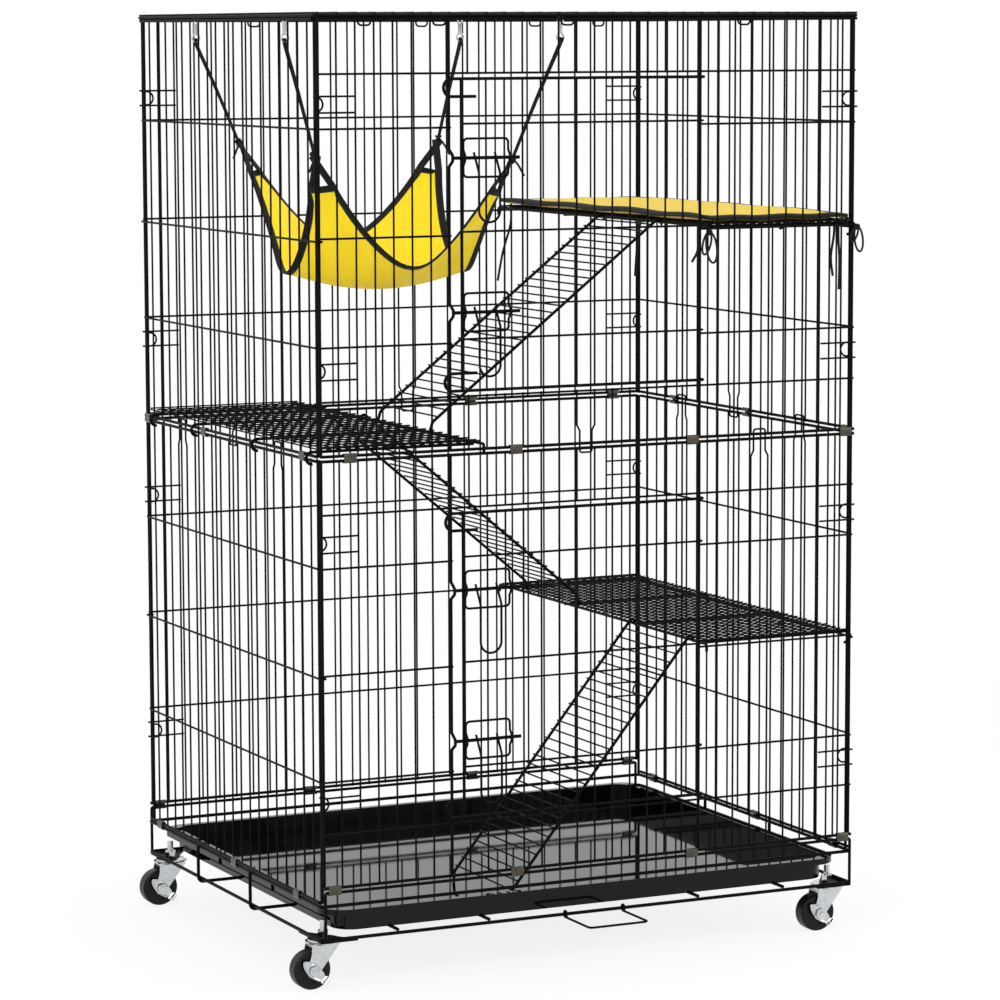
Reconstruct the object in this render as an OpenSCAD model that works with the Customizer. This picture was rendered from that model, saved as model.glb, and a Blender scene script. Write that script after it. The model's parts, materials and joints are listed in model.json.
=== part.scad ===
// Two-storey wire cat cage on castors, with three shelves, three ramps, a tray, a shelf mat and a hammock.
// X runs along the front, Y to the back and Z up. The origin is on the floor under the middle of the cage.

/* [Cage] */
// Width between the middles of the front panel's outermost wires
cage_w = 762; // [745:1:785]
// Depth between the front and back planes of upright wires
cage_d = 610; // [600:1:625]
// Height of one storey's panels
panel_h = 538; // [532:1:550]
// Rise from one panel's edge wire to the next one's
panel_joint = 6; // [5.6:0.2:8]
// Spacing of the upright wires on the front and back
wire_pitch = 25.4; // [25:0.1:26]
// Spacing of the upright wires on the sides
side_pitch = 30.5; // [30:0.1:31]

/* [Wire] */
// Diameter of the upright wires
wire_d = 2.5; // [2:0.1:2.8]
// Diameter of the cross wires
row_d = 2.8; // [2.4:0.1:3.2]
// Diameter of the edge and corner wires
edge_d = 4; // [3.6:0.1:4.4]
// Diameter of the base's wires
base_d = 4.5; // [4:0.1:5]
// Length of a wire's end past the wire that crosses it
wire_over = 1.5; // [0.5:0.1:1.6]
// Depth of the space between the corner wires of two panels that meet
corner_gap = 2.25; // [1:0.25:4]
// Rise from a cross wire to the short pair that locks the corner
hook_rise = 20; // [16:1:26]
// Height between the two short wires of a pair
hook_pair = 20; // [16:1:22]
// Length of the locating loops past the edge wire
loop_rise = 12; // [9:0.5:14]

/* [Doors] */
// Space above and below a door
door_room = 7; // [5:0.5:9]
// Space between the opening's edge wire and the door's frame wire, middle to middle
door_inset = 17.2; // [12:0.2:20]
// Height from a panel's cross wire up to the door's own
door_step = 4.5; // [4:0.1:6]
// Height of the bumper loops at the door's free corners
bumper_h = 22; // [18:1:26]
// Reach of the bumper loops past the opening's edge wire
bumper_reach = 9; // [6:1:12]

/* [Latches] */
// Diameter of a bolt
bolt_d = 4.4; // [4:0.1:4.8]
// Distance of a bolt from the panel's nearest cross wire
bolt_step = 38; // [32:1:44]
// Diameter of the bracket and handle wires
latch_d = 3; // [2.6:0.1:3.2]
// Width of a bolt's bracket
bracket_w = 63; // [60:1:68]
// Height of a bolt's bracket
bracket_h = 48; // [40:1:56]
// Length of the handle below the bolt
handle_l = 80; // [60:1:90]
// Width of the handle
handle_w = 29; // [24:1:32]
// Reach of the keeper's kink in front of the panel
keeper_out = 9; // [8.5:0.5:12]

/* [Shelves] */
// Spacing of the shelf mesh
mesh_pitch = 12.7; // [12.5:0.1:13]
// Diameter of the mesh wires
mesh_d = 2; // [1.6:0.1:2.2]
// Space between the opening's hinge wire and the shelf's edge wire, middle to middle
shelf_inset = 8; // [7.5:0.1:9]
// Length of the hooks that hang over the front and back
hook_drop = 10; // [8:0.5:14]
// Height of the round hooks that hang over the side, middle to middle
side_hook = 15; // [14.5:0.5:18]

/* [Ramps] */
// Length of a ramp from its hooks to the bend at its foot
ramp_l = 414; // [410:1:418]
// Length of the bent foot
ramp_foot = 14; // [12:1:16]
// Spacing of the rungs
rung_pitch = 14; // [12:0.5:18]
// Diameter of the rungs
rung_d = 2.2; // [1.8:0.1:2.6]

/* [Base] */
// Height from the base's lower ring to its upper ring
ring_rise = 43; // [42:0.5:48]
// Height from the upper ring to the rail under the front panel
rail_rise = 18.2; // [16:0.2:22]
// Height from the upper ring to the side panel's edge wire
side_joint = 5; // [4.6:0.1:6]
// Thickness of the corner plates
plate_t = 2; // [1.5:0.1:3]
// Length of a corner plate along the front
plate_w = 50; // [48:1:60]
// Length of a corner plate along the side
plate_d = 75; // [72:1:90]

/* [Tray] */
// Space between the tray's rim and the rails' legs
tray_side_room = 5.5; // [4.5:0.5:10]
// Distance of the tray's rim from the front and back planes
tray_end_room = 6.25; // [4:0.25:14]
// Width of the rim beside the tray's body
tray_rim_x = 18; // [14:1:28]
// Height of the tray
tray_h = 28; // [22:1:30]
// Thickness of the tray's sheet
tray_t = 1.5; // [1:0.1:2]
// Depth of the rim's folded lip
tray_lip = 8; // [5:0.5:10]
// Diameter of the gate's wire
gate_d = 3; // [2.6:0.1:3.2]
// Width of the gate
gate_w = 84; // [70:1:100]
// Length of the gate
gate_l = 70; // [60:1:76]

/* [Castors] */
// Diameter of a wheel
wheel_d = 50; // [46:1:52]
// Width of a wheel
wheel_w = 20; // [18:1:22]
// Height of a castor
castor_h = 63.3; // [63:0.1:66]
// Distance from the swivel to the axle
castor_trail = 18.5; // [16:0.5:20]
// Diameter of the stem
stem_d = 8; // [7:0.5:10]
// Diameter of the axle
axle_d = 8; // [6:0.5:9]
// Diameter of the swivel's lower race
race_d = 46; // [42:1:48]

/* [Mat and hammock] */
// Thickness of the mat in its middle
mat_t = 11; // [9:0.5:14]
// Thickness of the mat's bound edge
mat_edge = 4; // [3:0.5:5]
// Thickness of the hammock's cloth
cloth_t = 3; // [2.5:0.1:4]
// Diameter of the cords
cord_d = 3.4; // [3:0.1:3.6]

/* [Hidden] */

// Colours of the powder coat, the zinc plating, the tray, the tyres and the two cloths
black = "#1c1c1d";
zinc = "#b8bcc0";
tray_black = "#232324";
tyre_black = "#151515";
yellow = "#e8c62c";
binding = "#18181a";

// Gap between two wires that are welded
touch = 0.06;
// Gap between a piece and what it rests on
seat = 0.3;
// Gap between a moving piece and what it turns or slides on
free = 0.3;
// Gap between a wheel, fork or lever and the pin in it
fit = 0.06;
// Extra thickness of a bend, and its overlap with the straight wire
bend_swell = 0.05;
bend_lap = 0.3;
// Bend radius of wires where nothing else sets it
bend_r = 5;

// Places of the upright wires
spaces = round(cage_w / wire_pitch);
side_spaces = round(cage_d / side_pitch);
function column(i) = cage_w * (i / spaces - 0.5);
function side_column(i) = cage_d * (i / side_spaces - 0.5);
first = 7;
hinge = spaces - 9;
// Planes that the outer faces of the upright wires lie in
face_x = cage_w / 2 + wire_d / 2;
face_y = cage_d / 2 + wire_d / 2;
corner_u = face_x - free - edge_d / 2;
side_end = face_y - edge_d - corner_gap - edge_d / 2;
// Distance of the wires on the outside from those planes
row_out = touch + row_d / 2;
edge_out = touch + edge_d / 2;

// Heights of the base, from the castors up
plate_z = castor_h + seat;
low_ring_z = plate_z + plate_t + touch + base_d / 2;
slat_z = low_ring_z + base_d + touch;
tray_z = slat_z + base_d / 2 + seat;
ring_z = low_ring_z + ring_rise;
rail_z = ring_z + rail_rise;
side_low = ring_z + side_joint;
lower_z = rail_z + panel_joint;
upper_z = lower_z + panel_h + panel_joint;
top_z = upper_z + panel_h;
function level(low, n) = low + panel_h * n / 8;

// The base's rings
ring_x = face_x + edge_out;
ring_y = face_y + edge_out - base_d - touch;
ring_r = 5;

// Unit vector, and a list's own value for one corner
function unit(v) = v / norm(v);
function pick(r, i) = is_num(r) ? r : r[i];

module rod(a, b, d) {
    v = b - a;
    translate(a)
        rotate([0, acos(v.z / norm(v)), atan2(v.y, v.x)])
            cylinder(h = norm(v), d = d, $fn = 24);
}

// A wire of diameter d along the points, with its corners bent to the radius r, or to one radius each
module bent(points, d, r) {
    last = len(points) - 1;
    turn = [for (i = [0:last]) i == 0 || i == last ? 0 :
        let (a = unit(points[i] - points[i - 1]), b = unit(points[i + 1] - points[i]))
            acos(min(1, max(-1, a * b)))];
    cut = [for (i = [0:last]) turn[i] == 0 ? 0 : pick(r, i) * tan(turn[i] / 2)];
    for (i = [1:last]) {
        a = unit(points[i] - points[i - 1]);
        start = points[i - 1] + a * (cut[i - 1] - (turn[i - 1] > 0 ? bend_lap : 0));
        end = points[i] - a * (cut[i] - (turn[i] > 0 ? bend_lap : 0));
        rod(start, end, d);
    }
    for (i = [1:1:last - 1]) {
        a = unit(points[i] - points[i - 1]);
        b = unit(points[i + 1] - points[i]);
        n = unit(cross(a, b));
        inward = cross(n, a);
        centre = points[i] - a * cut[i] + inward * pick(r, i);
        x = -inward;
        multmatrix([[x.x, a.x, n.x, centre.x], [x.y, a.y, n.y, centre.y], [x.z, a.z, n.z, centre.z], [0, 0, 0, 1]])
            rotate_extrude(angle = turn[i], $fn = 48)
                translate([pick(r, i), 0])
                    circle(d = d + bend_swell, $fn = 24);
    }
}

// Puts a panel drawn as width, height and outward distance on one face of the cage
module on_face(turn, plane) {
    rotate([0, 0, turn])
        translate([0, -plane, 0])
            rotate([90, 0, 0])
                children();
}

module row(z, from, to, d) {
    rod([from, z, touch + d / 2], [to, z, touch + d / 2], d);
}

module upright(u, low, high, d) {
    rod([u, low - wire_over, -d / 2], [u, high + wire_over, -d / 2], d);
}

// Two neighbouring uprights that draw together and join in a loop past the edge at the height edge
loop_neck = 4;
loop_bend = 23;
loop_straight = 16;
module looped(u1, u2, far, edge) {
    s = edge > far ? 1 : -1;
    w = -wire_d / 2;
    top = edge + s * loop_rise;
    bent([
        [u1, far - s * wire_over, w], [u1, edge - s * loop_bend, w],
        [u1 + loop_neck, edge - s * loop_straight, w], [u1 + loop_neck, top, w],
        [u2 - loop_neck, top, w], [u2 - loop_neck, edge - s * loop_straight, w],
        [u2, edge - s * loop_bend, w], [u2, far - s * wire_over, w]
    ], wire_d, 3.5);
}

function in_pair(i, pairs) = len([for (p = pairs) if (i == p || i == p + 1) i]) > 0;

// Every upright of a list of columns that isn't part of a loop, then the loops
module uprights(columns, low, high, pairs, up) {
    for (i = columns)
        if (!in_pair(i, pairs))
            upright(column(i), low, high, wire_d);
    for (p = pairs)
        looped(column(p), column(p + 1), up ? low : high, up ? high : low);
}

// The short pairs of wires that reach past both corner wires and lock the side panels' loops
module corner_pairs(low) {
    for (s = [-1, 1], z = [level(low, 2) - hook_rise, level(low, 6) + hook_rise], k = [0, 1]) {
        at = z + (z > level(low, 4) ? k : -k) * hook_pair;
        row(at, s * (corner_u + edge_d), s * column(spaces - 2) + s * wire_d / 2, wire_d);
    }
}

module panel_edges(low) {
    for (z = [low, low + panel_h])
        row(z, -corner_u - edge_d / 2, corner_u + edge_d / 2, edge_d);
    for (s = [-1, 1])
        upright(s * corner_u, low, low + panel_h, edge_d);
}

module back_panel(low, pairs, up) {
    color(black)
        on_face(180, face_y) {
            panel_edges(low);
            uprights([1:spaces - 1], low, low + panel_h, pairs, up);
            for (n = [2, 4, 6])
                row(level(low, n), -corner_u - 1, corner_u + 1, row_d);
            corner_pairs(low);
        }
}

// Heights of the two bolts of a storey, and the kinks in the opening's edge wire that hold them
function bolt_heights(low) = [level(low, 2) + bolt_step, level(low, 6) - bolt_step];
kink_half = 11;
kink_flat = 3.6;
module keeper_wire(low) {
    u = column(first);
    w = -edge_d / 2;
    bent(concat(
        [[u, low - wire_over, w]],
        [for (z = bolt_heights(low), k = [[-kink_half, w], [-kink_flat, keeper_out], [kink_flat, keeper_out],
            [kink_half, w]]) [u, z + k[0], k[1]]],
        [[u, low + panel_h + wire_over, w]]
    ), edge_d, 2.8);
}

module front_panel(low, pairs, up) {
    color(black)
        on_face(0, face_y) {
            panel_edges(low);
            keeper_wire(low);
            upright(column(hinge), low, low + panel_h, edge_d);
            uprights(concat([for (i = [1:first - 1]) i], [for (i = [hinge + 1:spaces - 1]) i]), low,
                low + panel_h, [for (p = pairs) if (p > hinge) p], up);
            strip = [[low, level(low, 1)], [level(low, 7), low + panel_h]];
            for (k = [0, 1])
                uprights([first + 1:hinge - 1], strip[k][0], strip[k][1],
                    [for (p = pairs) if (p < hinge && (up ? 1 : 0) == k) p], up);
            for (n = [1, 7])
                row(level(low, n), -corner_u - 1, corner_u + 1, row_d);
            for (n = [2, 4, 6]) {
                row(level(low, n), -corner_u - 1, column(first) + 1, row_d);
                row(level(low, n), column(hinge) - 1, corner_u + 1, row_d);
            }
            corner_pairs(low);
        }
}

// A side panel's cross wire whose ends curl round the corner wires of the front and back
curl_r = row_out + free + edge_d / 2;
curl_lift = 0.5;
module curled_row(z) {
    end = face_y - edge_d / 2;
    bent([
        [-end + 1, z, row_out - 2 * curl_r], [-end - curl_r, z, row_out - 2 * curl_r], [-end - curl_r, z, row_out],
        [end + curl_r, z, row_out], [end + curl_r, z, row_out - 2 * curl_r], [end - 1, z, row_out - 2 * curl_r]
    ], row_d, curl_r);
}

// The side panels' loops that lie along the front and back and reach into the cage, level with the short pairs
side_loop_h = 18;
side_loop_reach = 13;
module side_loops(low) {
    for (s = [-1, 1], z = [level(low, 2) - hook_rise - hook_pair / 2, level(low, 6) + hook_rise + hook_pair / 2]) {
        u = s * (side_end - edge_d / 2 - touch - wire_d / 2);
        h = side_loop_h / 2;
        bent([[u, z - h, -0.5], [u, z - h, -side_loop_reach], [u, z + h, -side_loop_reach], [u, z + h, -0.5]], wire_d, h);
    }
}

module side_panel(turn, bottom, low, pairs, up) {
    high = low + panel_h;
    color(black)
        on_face(turn, face_x) {
            for (z = [bottom, high])
                row(z, -side_end - 1, side_end + 1, edge_d);
            for (s = [-1, 1])
                upright(s * side_end, bottom, high, edge_d);
            for (i = [1:side_spaces - 1])
                if (!in_pair(i, pairs))
                    upright(side_column(i), bottom, high, wire_d);
            for (p = pairs)
                looped(side_column(p), side_column(p + 1), up ? bottom : high, up ? high : bottom);
            for (n = [2, 6])
                row(level(low, n), -side_end - 1, side_end + 1, row_d);
            curled_row(level(low, 4) - row_d - curl_lift);
            side_loops(low);
        }
}

// The top panel lies on the top edge wires and has loops that drop inside the front and back
top_frame_z = top_z + edge_d + touch;
top_wire_z = top_frame_z + edge_d / 2 + touch + wire_d / 2;
top_row_z = top_wire_z - wire_d / 2 - touch - row_d / 2;
top_rows = [-188, -122, 0, 122, 188];
top_loops = [2, 6, 13, 23];
module top_panel() {
    far_y = face_y + edge_out;
    color(black) {
        bent([[-1, far_y, top_frame_z], [-ring_x, far_y, top_frame_z], [-ring_x, -far_y, top_frame_z],
            [ring_x, -far_y, top_frame_z], [ring_x, far_y, top_frame_z], [-0.5, far_y, top_frame_z]], edge_d, 8);
        for (i = [0:spaces])
            rod([column(i), -far_y - wire_over, top_wire_z], [column(i), far_y + wire_over, top_wire_z], wire_d);
        for (y = top_rows)
            rod([-ring_x + edge_d / 2 + touch, y, top_row_z], [ring_x - edge_d / 2 - touch, y, top_row_z], row_d);
        for (turn = [0, 180], i = top_loops)
            on_face(turn, face_y)
                bent([for (p = [[loop_neck, 0], [loop_neck, 1], [wire_pitch - loop_neck, 1], [wire_pitch - loop_neck, 0]])
                    [column(i) + p[0], top_wire_z - wire_d / 2 - touch - p[1] * (loop_rise + 2), -wire_d / 2]
                ], wire_d, bend_r);
    }
}

// The base: two rings, a rail under each of the front and back panels, slats and cross wires
rail_x = ring_x - ring_r + 1.2;
rail_r = 3;
slats = [-280, -152, 152, 280];
cradles = [-77, 109];
module ring(x, y, z) {
    bent([[0.25, y, z], [x, y, z], [x, -y, z], [-x, -y, z], [-x, y, z], [-0.25, y, z]], base_d, ring_r);
}
module base_frame() {
    color(black) {
        ring(ring_x, ring_y, low_ring_z);
        ring(ring_x, ring_y, ring_z);
        for (s = [-1, 1]) {
            y = s * (face_y + edge_out);
            bent([[-rail_x, y, low_ring_z - base_d / 2], [-rail_x, y, rail_z], [rail_x, y, rail_z],
                [rail_x, y, low_ring_z - base_d / 2]], edge_d, rail_r);
        }
        for (x = slats)
            rod([x, -ring_y - wire_over, slat_z], [x, ring_y + wire_over, slat_z], base_d);
        for (y = cradles) {
            side = ring_x + base_d + touch;
            z = low_ring_z - base_d - touch;
            bent([[-side, y, ring_z + wire_over], [-side, y, z], [side, y, z], [side, y, ring_z + wire_over]], base_d, 7);
        }
    }
}

corners = [[-1, -1], [1, -1], [-1, 1], [1, 1]];
castor_x = ring_x - 16.3;
castor_y = ring_y - 33.7;
module corner_plates() {
    color(black)
        for (c = corners)
            difference() {
                translate([0, 0, plate_z])
                    linear_extrude(plate_t)
                        polygon([for (p = [[0, 0], [plate_w, 0], [0, plate_d]])
                            [c.x * (ring_x - p.x), c.y * (ring_y - p.y)]]);
                translate([c.x * castor_x, c.y * castor_y, plate_z - 1])
                    cylinder(h = plate_t + 2, d = stem_d + 4 * fit, $fn = 48);
            }
}

// A spring clip: a band of sheet round two edge wires, open towards the cage
clip_w = 17;
clip_t = 0.9;
module clip(u, z1, d1, z2, d2) {
    d = max(d1, d2) + 2 * free;
    translate([u - clip_w / 2, 0, edge_out])
        rotate([0, 90, 0])
            linear_extrude(clip_w)
                difference() {
                    capsule(z1, z2, d + 2 * clip_t);
                    capsule(z1, z2, d);
                    translate([d / 2 - 0.2, (z1 + z2) / 2])
                        square([3, 3.2], center = true);
                }
}
module capsule(z1, z2, d) {
    for (z = [z1, z2])
        translate([0, z])
            circle(d = d, $fn = 48);
    translate([-d / 2, z1])
        square([d, z2 - z1]);
}

function between(i) = (column(i) + column(i + 1)) / 2;
// The slots between the side's uprights. The end ones lie between the corner wire and its neighbour
end_slot = (side_end - edge_d / 2 + side_column(side_spaces - 1) + wire_d / 2) / 2;
function side_between(i) = i == 0 ? -end_slot : i == side_spaces - 1 ? end_slot :
    (side_column(i) + side_column(i + 1)) / 2;
// The slot at a share of the side's width
function slot_at(share) = side_between(min(side_spaces - 1, round(share * side_spaces)));
module middle_clips() {
    color(zinc) {
        for (turn = [0, 180], i = [1, 10, 20, 29])
            on_face(turn, face_y)
                clip(between(i), lower_z + panel_h, edge_d, upper_z, edge_d);
        on_face(-90, face_x)
            for (share = [0, 0.35, 0.9])
                clip(slot_at(share), lower_z + panel_h, edge_d, upper_z, edge_d);
        on_face(90, face_x)
            for (share = [0, 0.45, 0.8])
                clip(slot_at(share), lower_z + panel_h, edge_d, upper_z, edge_d);
    }
}
module bottom_clips() {
    color(zinc) {
        for (turn = [0, 180], i = [0, 10, 20, 29])
            on_face(turn, face_y)
                clip(between(i), rail_z, edge_d, lower_z, edge_d);
        on_face(-90, face_x)
            for (share = [0.05, 0.5, 0.85])
                clip(slot_at(share), ring_z, base_d, side_low, edge_d);
        on_face(90, face_x)
            for (share = [0.05, 0.4, 0.9])
                clip(slot_at(share), ring_z, base_d, side_low, edge_d);
    }
}

// A door: a frame wire, uprights, three cross wires and two edge wires that end in bumper loops
door_left = column(first) + door_inset;
module door(low) {
    bottom = level(low, 1) + door_room;
    top = level(low, 7) - door_room;
    hx = column(hinge);
    color(black)
        on_face(0, face_y) {
            upright(door_left, bottom, top, edge_d);
            for (i = [first + 2:hinge - 1])
                upright(column(i), bottom, top, wire_d);
            for (z = [bottom, top]) {
                back = z + (z == top ? -1 : 1) * bumper_h;
                w = free + edge_d / 2;
                r = edge_d + free;
                left = column(first) - bumper_reach;
                bent([[door_left + 18, back, w], [left, back, w], [left, z, w], [hx + r, z, w],
                    [hx + r, z, w - 2 * r], [hx - 0.5, z, w - 2 * r]], edge_d,
                    [0, bumper_h / 2, bumper_h / 2, r, r, 0]);
            }
            for (n = [2, 4, 6]) {
                z = level(low, n) + door_step;
                w = free + row_d / 2;
                r = row_d / 2 + free + edge_d / 2;
                bent([[door_left - edge_d / 2, z, w], [hx + r, z, w], [hx + r, z, w - 2 * r],
                    [hx - 0.5, z, w - 2 * r]], row_d, [0, r, r, 0]);
            }
            for (z = bolt_heights(low))
                bracket(z);
        }
}

// The wire bracket that a bolt slides in, bent out over the bolt on both sides
bracket_right = door_left + bracket_w;
bolt_w = free + bolt_d / 2;
bracket_r = 5.5;
bulge_r = 2.6;
module bracket(z) {
    left = door_left + 1;
    mid = (left + bracket_right) / 2;
    w = touch + latch_d / 2;
    out = bolt_w + bolt_d / 2 + free + latch_d / 2;
    h = bracket_h / 2;
    side = [[-h, w], [-10, w], [-4, out], [4, out], [10, w], [h, w]];
    bent(concat(
        [[mid - 0.25, z - h, w]],
        [for (k = side) [left, z + k[0], k[1]]],
        [for (k = [len(side) - 1:-1:0]) [bracket_right, z + side[k][0], side[k][1]]],
        [[mid + 0.25, z - h, w]]
    ), latch_d, [for (i = [0:2 * len(side) + 1]) i % len(side) < 2 ? bracket_r : bulge_r]);
}

// A bolt with its hanging handle. It stops just short of the keeper, so that the door can swing
bolt_right = 78;
handle_left = 15;
handle_lean = 11;
handle_kink = 18;
handle_top = 6.5;
module latch(z) {
    start = column(first) + edge_d / 2 + free;
    left = door_left + handle_left;
    right = left + handle_w;
    slope = handle_lean / handle_kink;
    near = bolt_w + (bolt_d / 2 + latch_d / 2 - 0.4) / cos(atan(slope));
    low = near + handle_lean;
    high = near - slope * handle_top;
    color(black)
        on_face(0, face_y) {
            rod([start, z, bolt_w], [door_left + bolt_right, z, bolt_w], bolt_d);
            bent([[left, z + handle_top, high], [left, z - handle_kink, low], [left, z - handle_l, low],
                [right, z - handle_l, low], [right, z - handle_kink, low], [right, z + handle_top, high]],
                latch_d, [0, bend_r, handle_w / 2, handle_w / 2, bend_r, 0]);
        }
}

// A shelf that hangs on the panels' wires at height z, whose diameter is d
shelf_inner = column(hinge) + shelf_inset;
function shelf_z(z, d) = z + d / 2 + seat + edge_d / 2;
function shelf_edge_z(z, d) = shelf_z(z, d) + edge_d / 2 + touch;
function shelf_long_z(z, d) = shelf_z(z, d) + edge_d / 2 + touch + mesh_d / 2;
function shelf_top(z, d) = shelf_long_z(z, d) + 1.5 * mesh_d + touch;
mesh_across = floor((face_x - wire_d - 2 - shelf_inner) / mesh_pitch);
mesh_along = 2 * floor((cage_d / 2 - 6) / mesh_pitch + 0.5);
module shelf(z, d, shares) {
    zb = shelf_z(z, d);
    ze = shelf_edge_z(z, d);
    hook_x = face_x + touch + d / 2 + side_hook / 2;
    end_y = face_y + touch + d + free + edge_d / 2;
    out = shelf_inner + mesh_across * mesh_pitch + mesh_d / 2;
    color(black) {
        for (share = shares) {
            y = slot_at(share);
            bent([[shelf_inner + edge_d / 2 + touch, y, zb], [hook_x, y, zb], [hook_x, y, zb - side_hook],
                [hook_x - side_hook / 2 - 0.5, y, zb - side_hook]], edge_d, side_hook / 2);
        }
        bent([[shelf_inner, -end_y, ze - hook_drop], [shelf_inner, -end_y, ze], [shelf_inner, end_y, ze],
            [shelf_inner, end_y, ze - hook_drop]], edge_d, 4);
        for (k = [1:mesh_across])
            rod([shelf_inner + k * mesh_pitch, -mesh_along * mesh_pitch / 2 + mesh_pitch / 2 - 1, shelf_long_z(z, d)],
                [shelf_inner + k * mesh_pitch, mesh_along * mesh_pitch / 2 - mesh_pitch / 2 + 1, shelf_long_z(z, d)],
                mesh_d);
        for (k = [each [0:2:mesh_along - 2], mesh_along - 1]) {
            y = (k - (mesh_along - 1) / 2) * mesh_pitch;
            zc = shelf_top(z, d) - mesh_d / 2;
            rod([shelf_inner - edge_d / 2, y, zc], [out, y, zc], mesh_d);
        }
    }
}
// The lower and upper shelves' edge wires hang on the front and back, and their bearers hook over the side
lower_seat = level(lower_z, 4) - edge_d / 2 - touch;
middle_seat = upper_z;
upper_seat = level(upper_z, 4) - edge_d / 2 - touch;
module lower_shelf() {
    shelf(lower_seat, row_d, [0, 0.3, 0.65, 1]);
}
module middle_shelf() {
    rotate([0, 0, 180])
        shelf(middle_seat, edge_d, [0.05, 0.3, 0.65, 1]);
}
module upper_shelf() {
    shelf(upper_seat, row_d, [0, 0.3, 0.65, 1]);
}

// A ramp hooked over a shelf's edge wire. Its slope is found from the drop to what its foot stands on
ramp_hook = edge_d + free;
foot_bend = 35;
ramp_half = 6.5 * mesh_pitch;
function fall(a) = ramp_l * sin(a) + ramp_foot * sin(a + foot_bend) + edge_d / 2 * cos(a + foot_bend)
    - ramp_hook * cos(a);
function slope(drop, low = 5, high = 85, n = 40) = let (mid = (low + high) / 2)
    n == 0 ? mid : fall(mid) > drop ? slope(drop, low, mid, n - 1) : slope(drop, mid, high, n - 1);
module ramp(x, y, z, foot_z, turn) {
    color(black)
        translate([x, y, z])
            rotate([0, 0, turn])
                rotate([0, slope(z - foot_z - seat), 0]) {
                    for (s = [-1, 1])
                        bent([[ramp_l + ramp_foot * cos(foot_bend), s * ramp_half, ramp_hook - ramp_foot * sin(foot_bend)],
                            [ramp_l, s * ramp_half, ramp_hook], [-ramp_hook, s * ramp_half, ramp_hook],
                            [-ramp_hook, s * ramp_half, -ramp_hook], [0.5, s * ramp_half, -ramp_hook]], edge_d,
                            [0, 8, ramp_hook, ramp_hook, 0]);
                    for (i = [1:floor((ramp_l - 6) / rung_pitch)]) {
                        over = ramp_hook + edge_d / 2 + touch + rung_d / 2;
                        rod([i * rung_pitch, -ramp_half - 1, over], [i * rung_pitch, ramp_half + 1, over], rung_d);
                    }
                }
}
// A ramp's place along its shelf, as a share of the mesh, whose hooks pass between the mesh wires
function along(share) = (round(share * mesh_along) + 0.5) * mesh_pitch;
lower_ramp_y = -along(0.3);
middle_ramp_y = along(0.23);
upper_ramp_y = -along(0.15);
module lower_ramp() {
    ramp(shelf_inner, lower_ramp_y, shelf_edge_z(lower_seat, row_d), tray_z + tray_t, 180);
}
module middle_ramp() {
    ramp(-shelf_inner, middle_ramp_y, shelf_edge_z(middle_seat, edge_d), shelf_edge_z(lower_seat, row_d) + edge_d / 2, 0);
}
module upper_ramp() {
    ramp(shelf_inner, upper_ramp_y, shelf_edge_z(upper_seat, row_d), shelf_edge_z(middle_seat, edge_d) + edge_d / 2, 180);
}

// The tray: a folded sheet with rounded corners and a turned-down rim
module rounded(w, d, r) {
    square([w - 2 * r, d], center = true);
    square([w, d - 2 * r], center = true);
    for (x = [-1, 1], y = [-1, 1])
        translate([x * (w / 2 - r), y * (d / 2 - r)])
            circle(r = r, $fn = 64);
}
tray_r = 28;
tray_rim_y = 8;
tray_rim_w = 2 * (rail_x - edge_d / 2 - tray_side_room);
tray_rim_d = 2 * (face_y - tray_end_room);
tray_w = tray_rim_w - 2 * tray_rim_x;
module tray() {
    inner_w = tray_w - 2 * tray_t;
    body_d = tray_rim_d - 2 * tray_rim_y;
    inner_d = body_d - 2 * tray_t;
    color(tray_black)
        translate([0, 0, tray_z]) {
            difference() {
                linear_extrude(tray_h)
                    rounded(tray_w, body_d, tray_r);
                translate([0, 0, tray_t])
                    linear_extrude(tray_h)
                        rounded(inner_w, inner_d, tray_r - tray_t);
            }
            translate([0, 0, tray_h - tray_t])
                linear_extrude(tray_t)
                    difference() {
                        rounded(tray_rim_w, tray_rim_d, tray_r + tray_rim_y);
                        rounded(tray_w - tray_t, body_d - tray_t, tray_r - tray_t / 2);
                    }
            translate([0, 0, tray_h - tray_lip])
                linear_extrude(tray_lip - tray_t / 2)
                    difference() {
                        rounded(tray_rim_w, tray_rim_d, tray_r + tray_rim_y);
                        rounded(tray_rim_w - 2 * tray_t, tray_rim_d - 2 * tray_t, tray_r + tray_rim_y - tray_t);
                    }
        }
}

// The gate that holds the tray in, hinged on the lower ring by two eyes and lying down in front of the cage
module tray_gate() {
    r = base_d / 2 + free + gate_d / 2;
    color(black)
        translate([0, -ring_y, low_ring_z]) {
            for (s = [-1, 1])
                translate([s * gate_w / 2, 0, 0])
                    rotate([0, 90, 0])
                        rotate_extrude($fn = 48)
                            translate([r, 0])
                                circle(d = gate_d + bend_swell, $fn = 24);
            bent([[-gate_w / 2, 0, -r], [-gate_w / 2, -gate_l, -r], [gate_w / 2, -gate_l, -r], [gate_w / 2, 0, -r]],
                gate_d, 6);
        }
}

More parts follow.
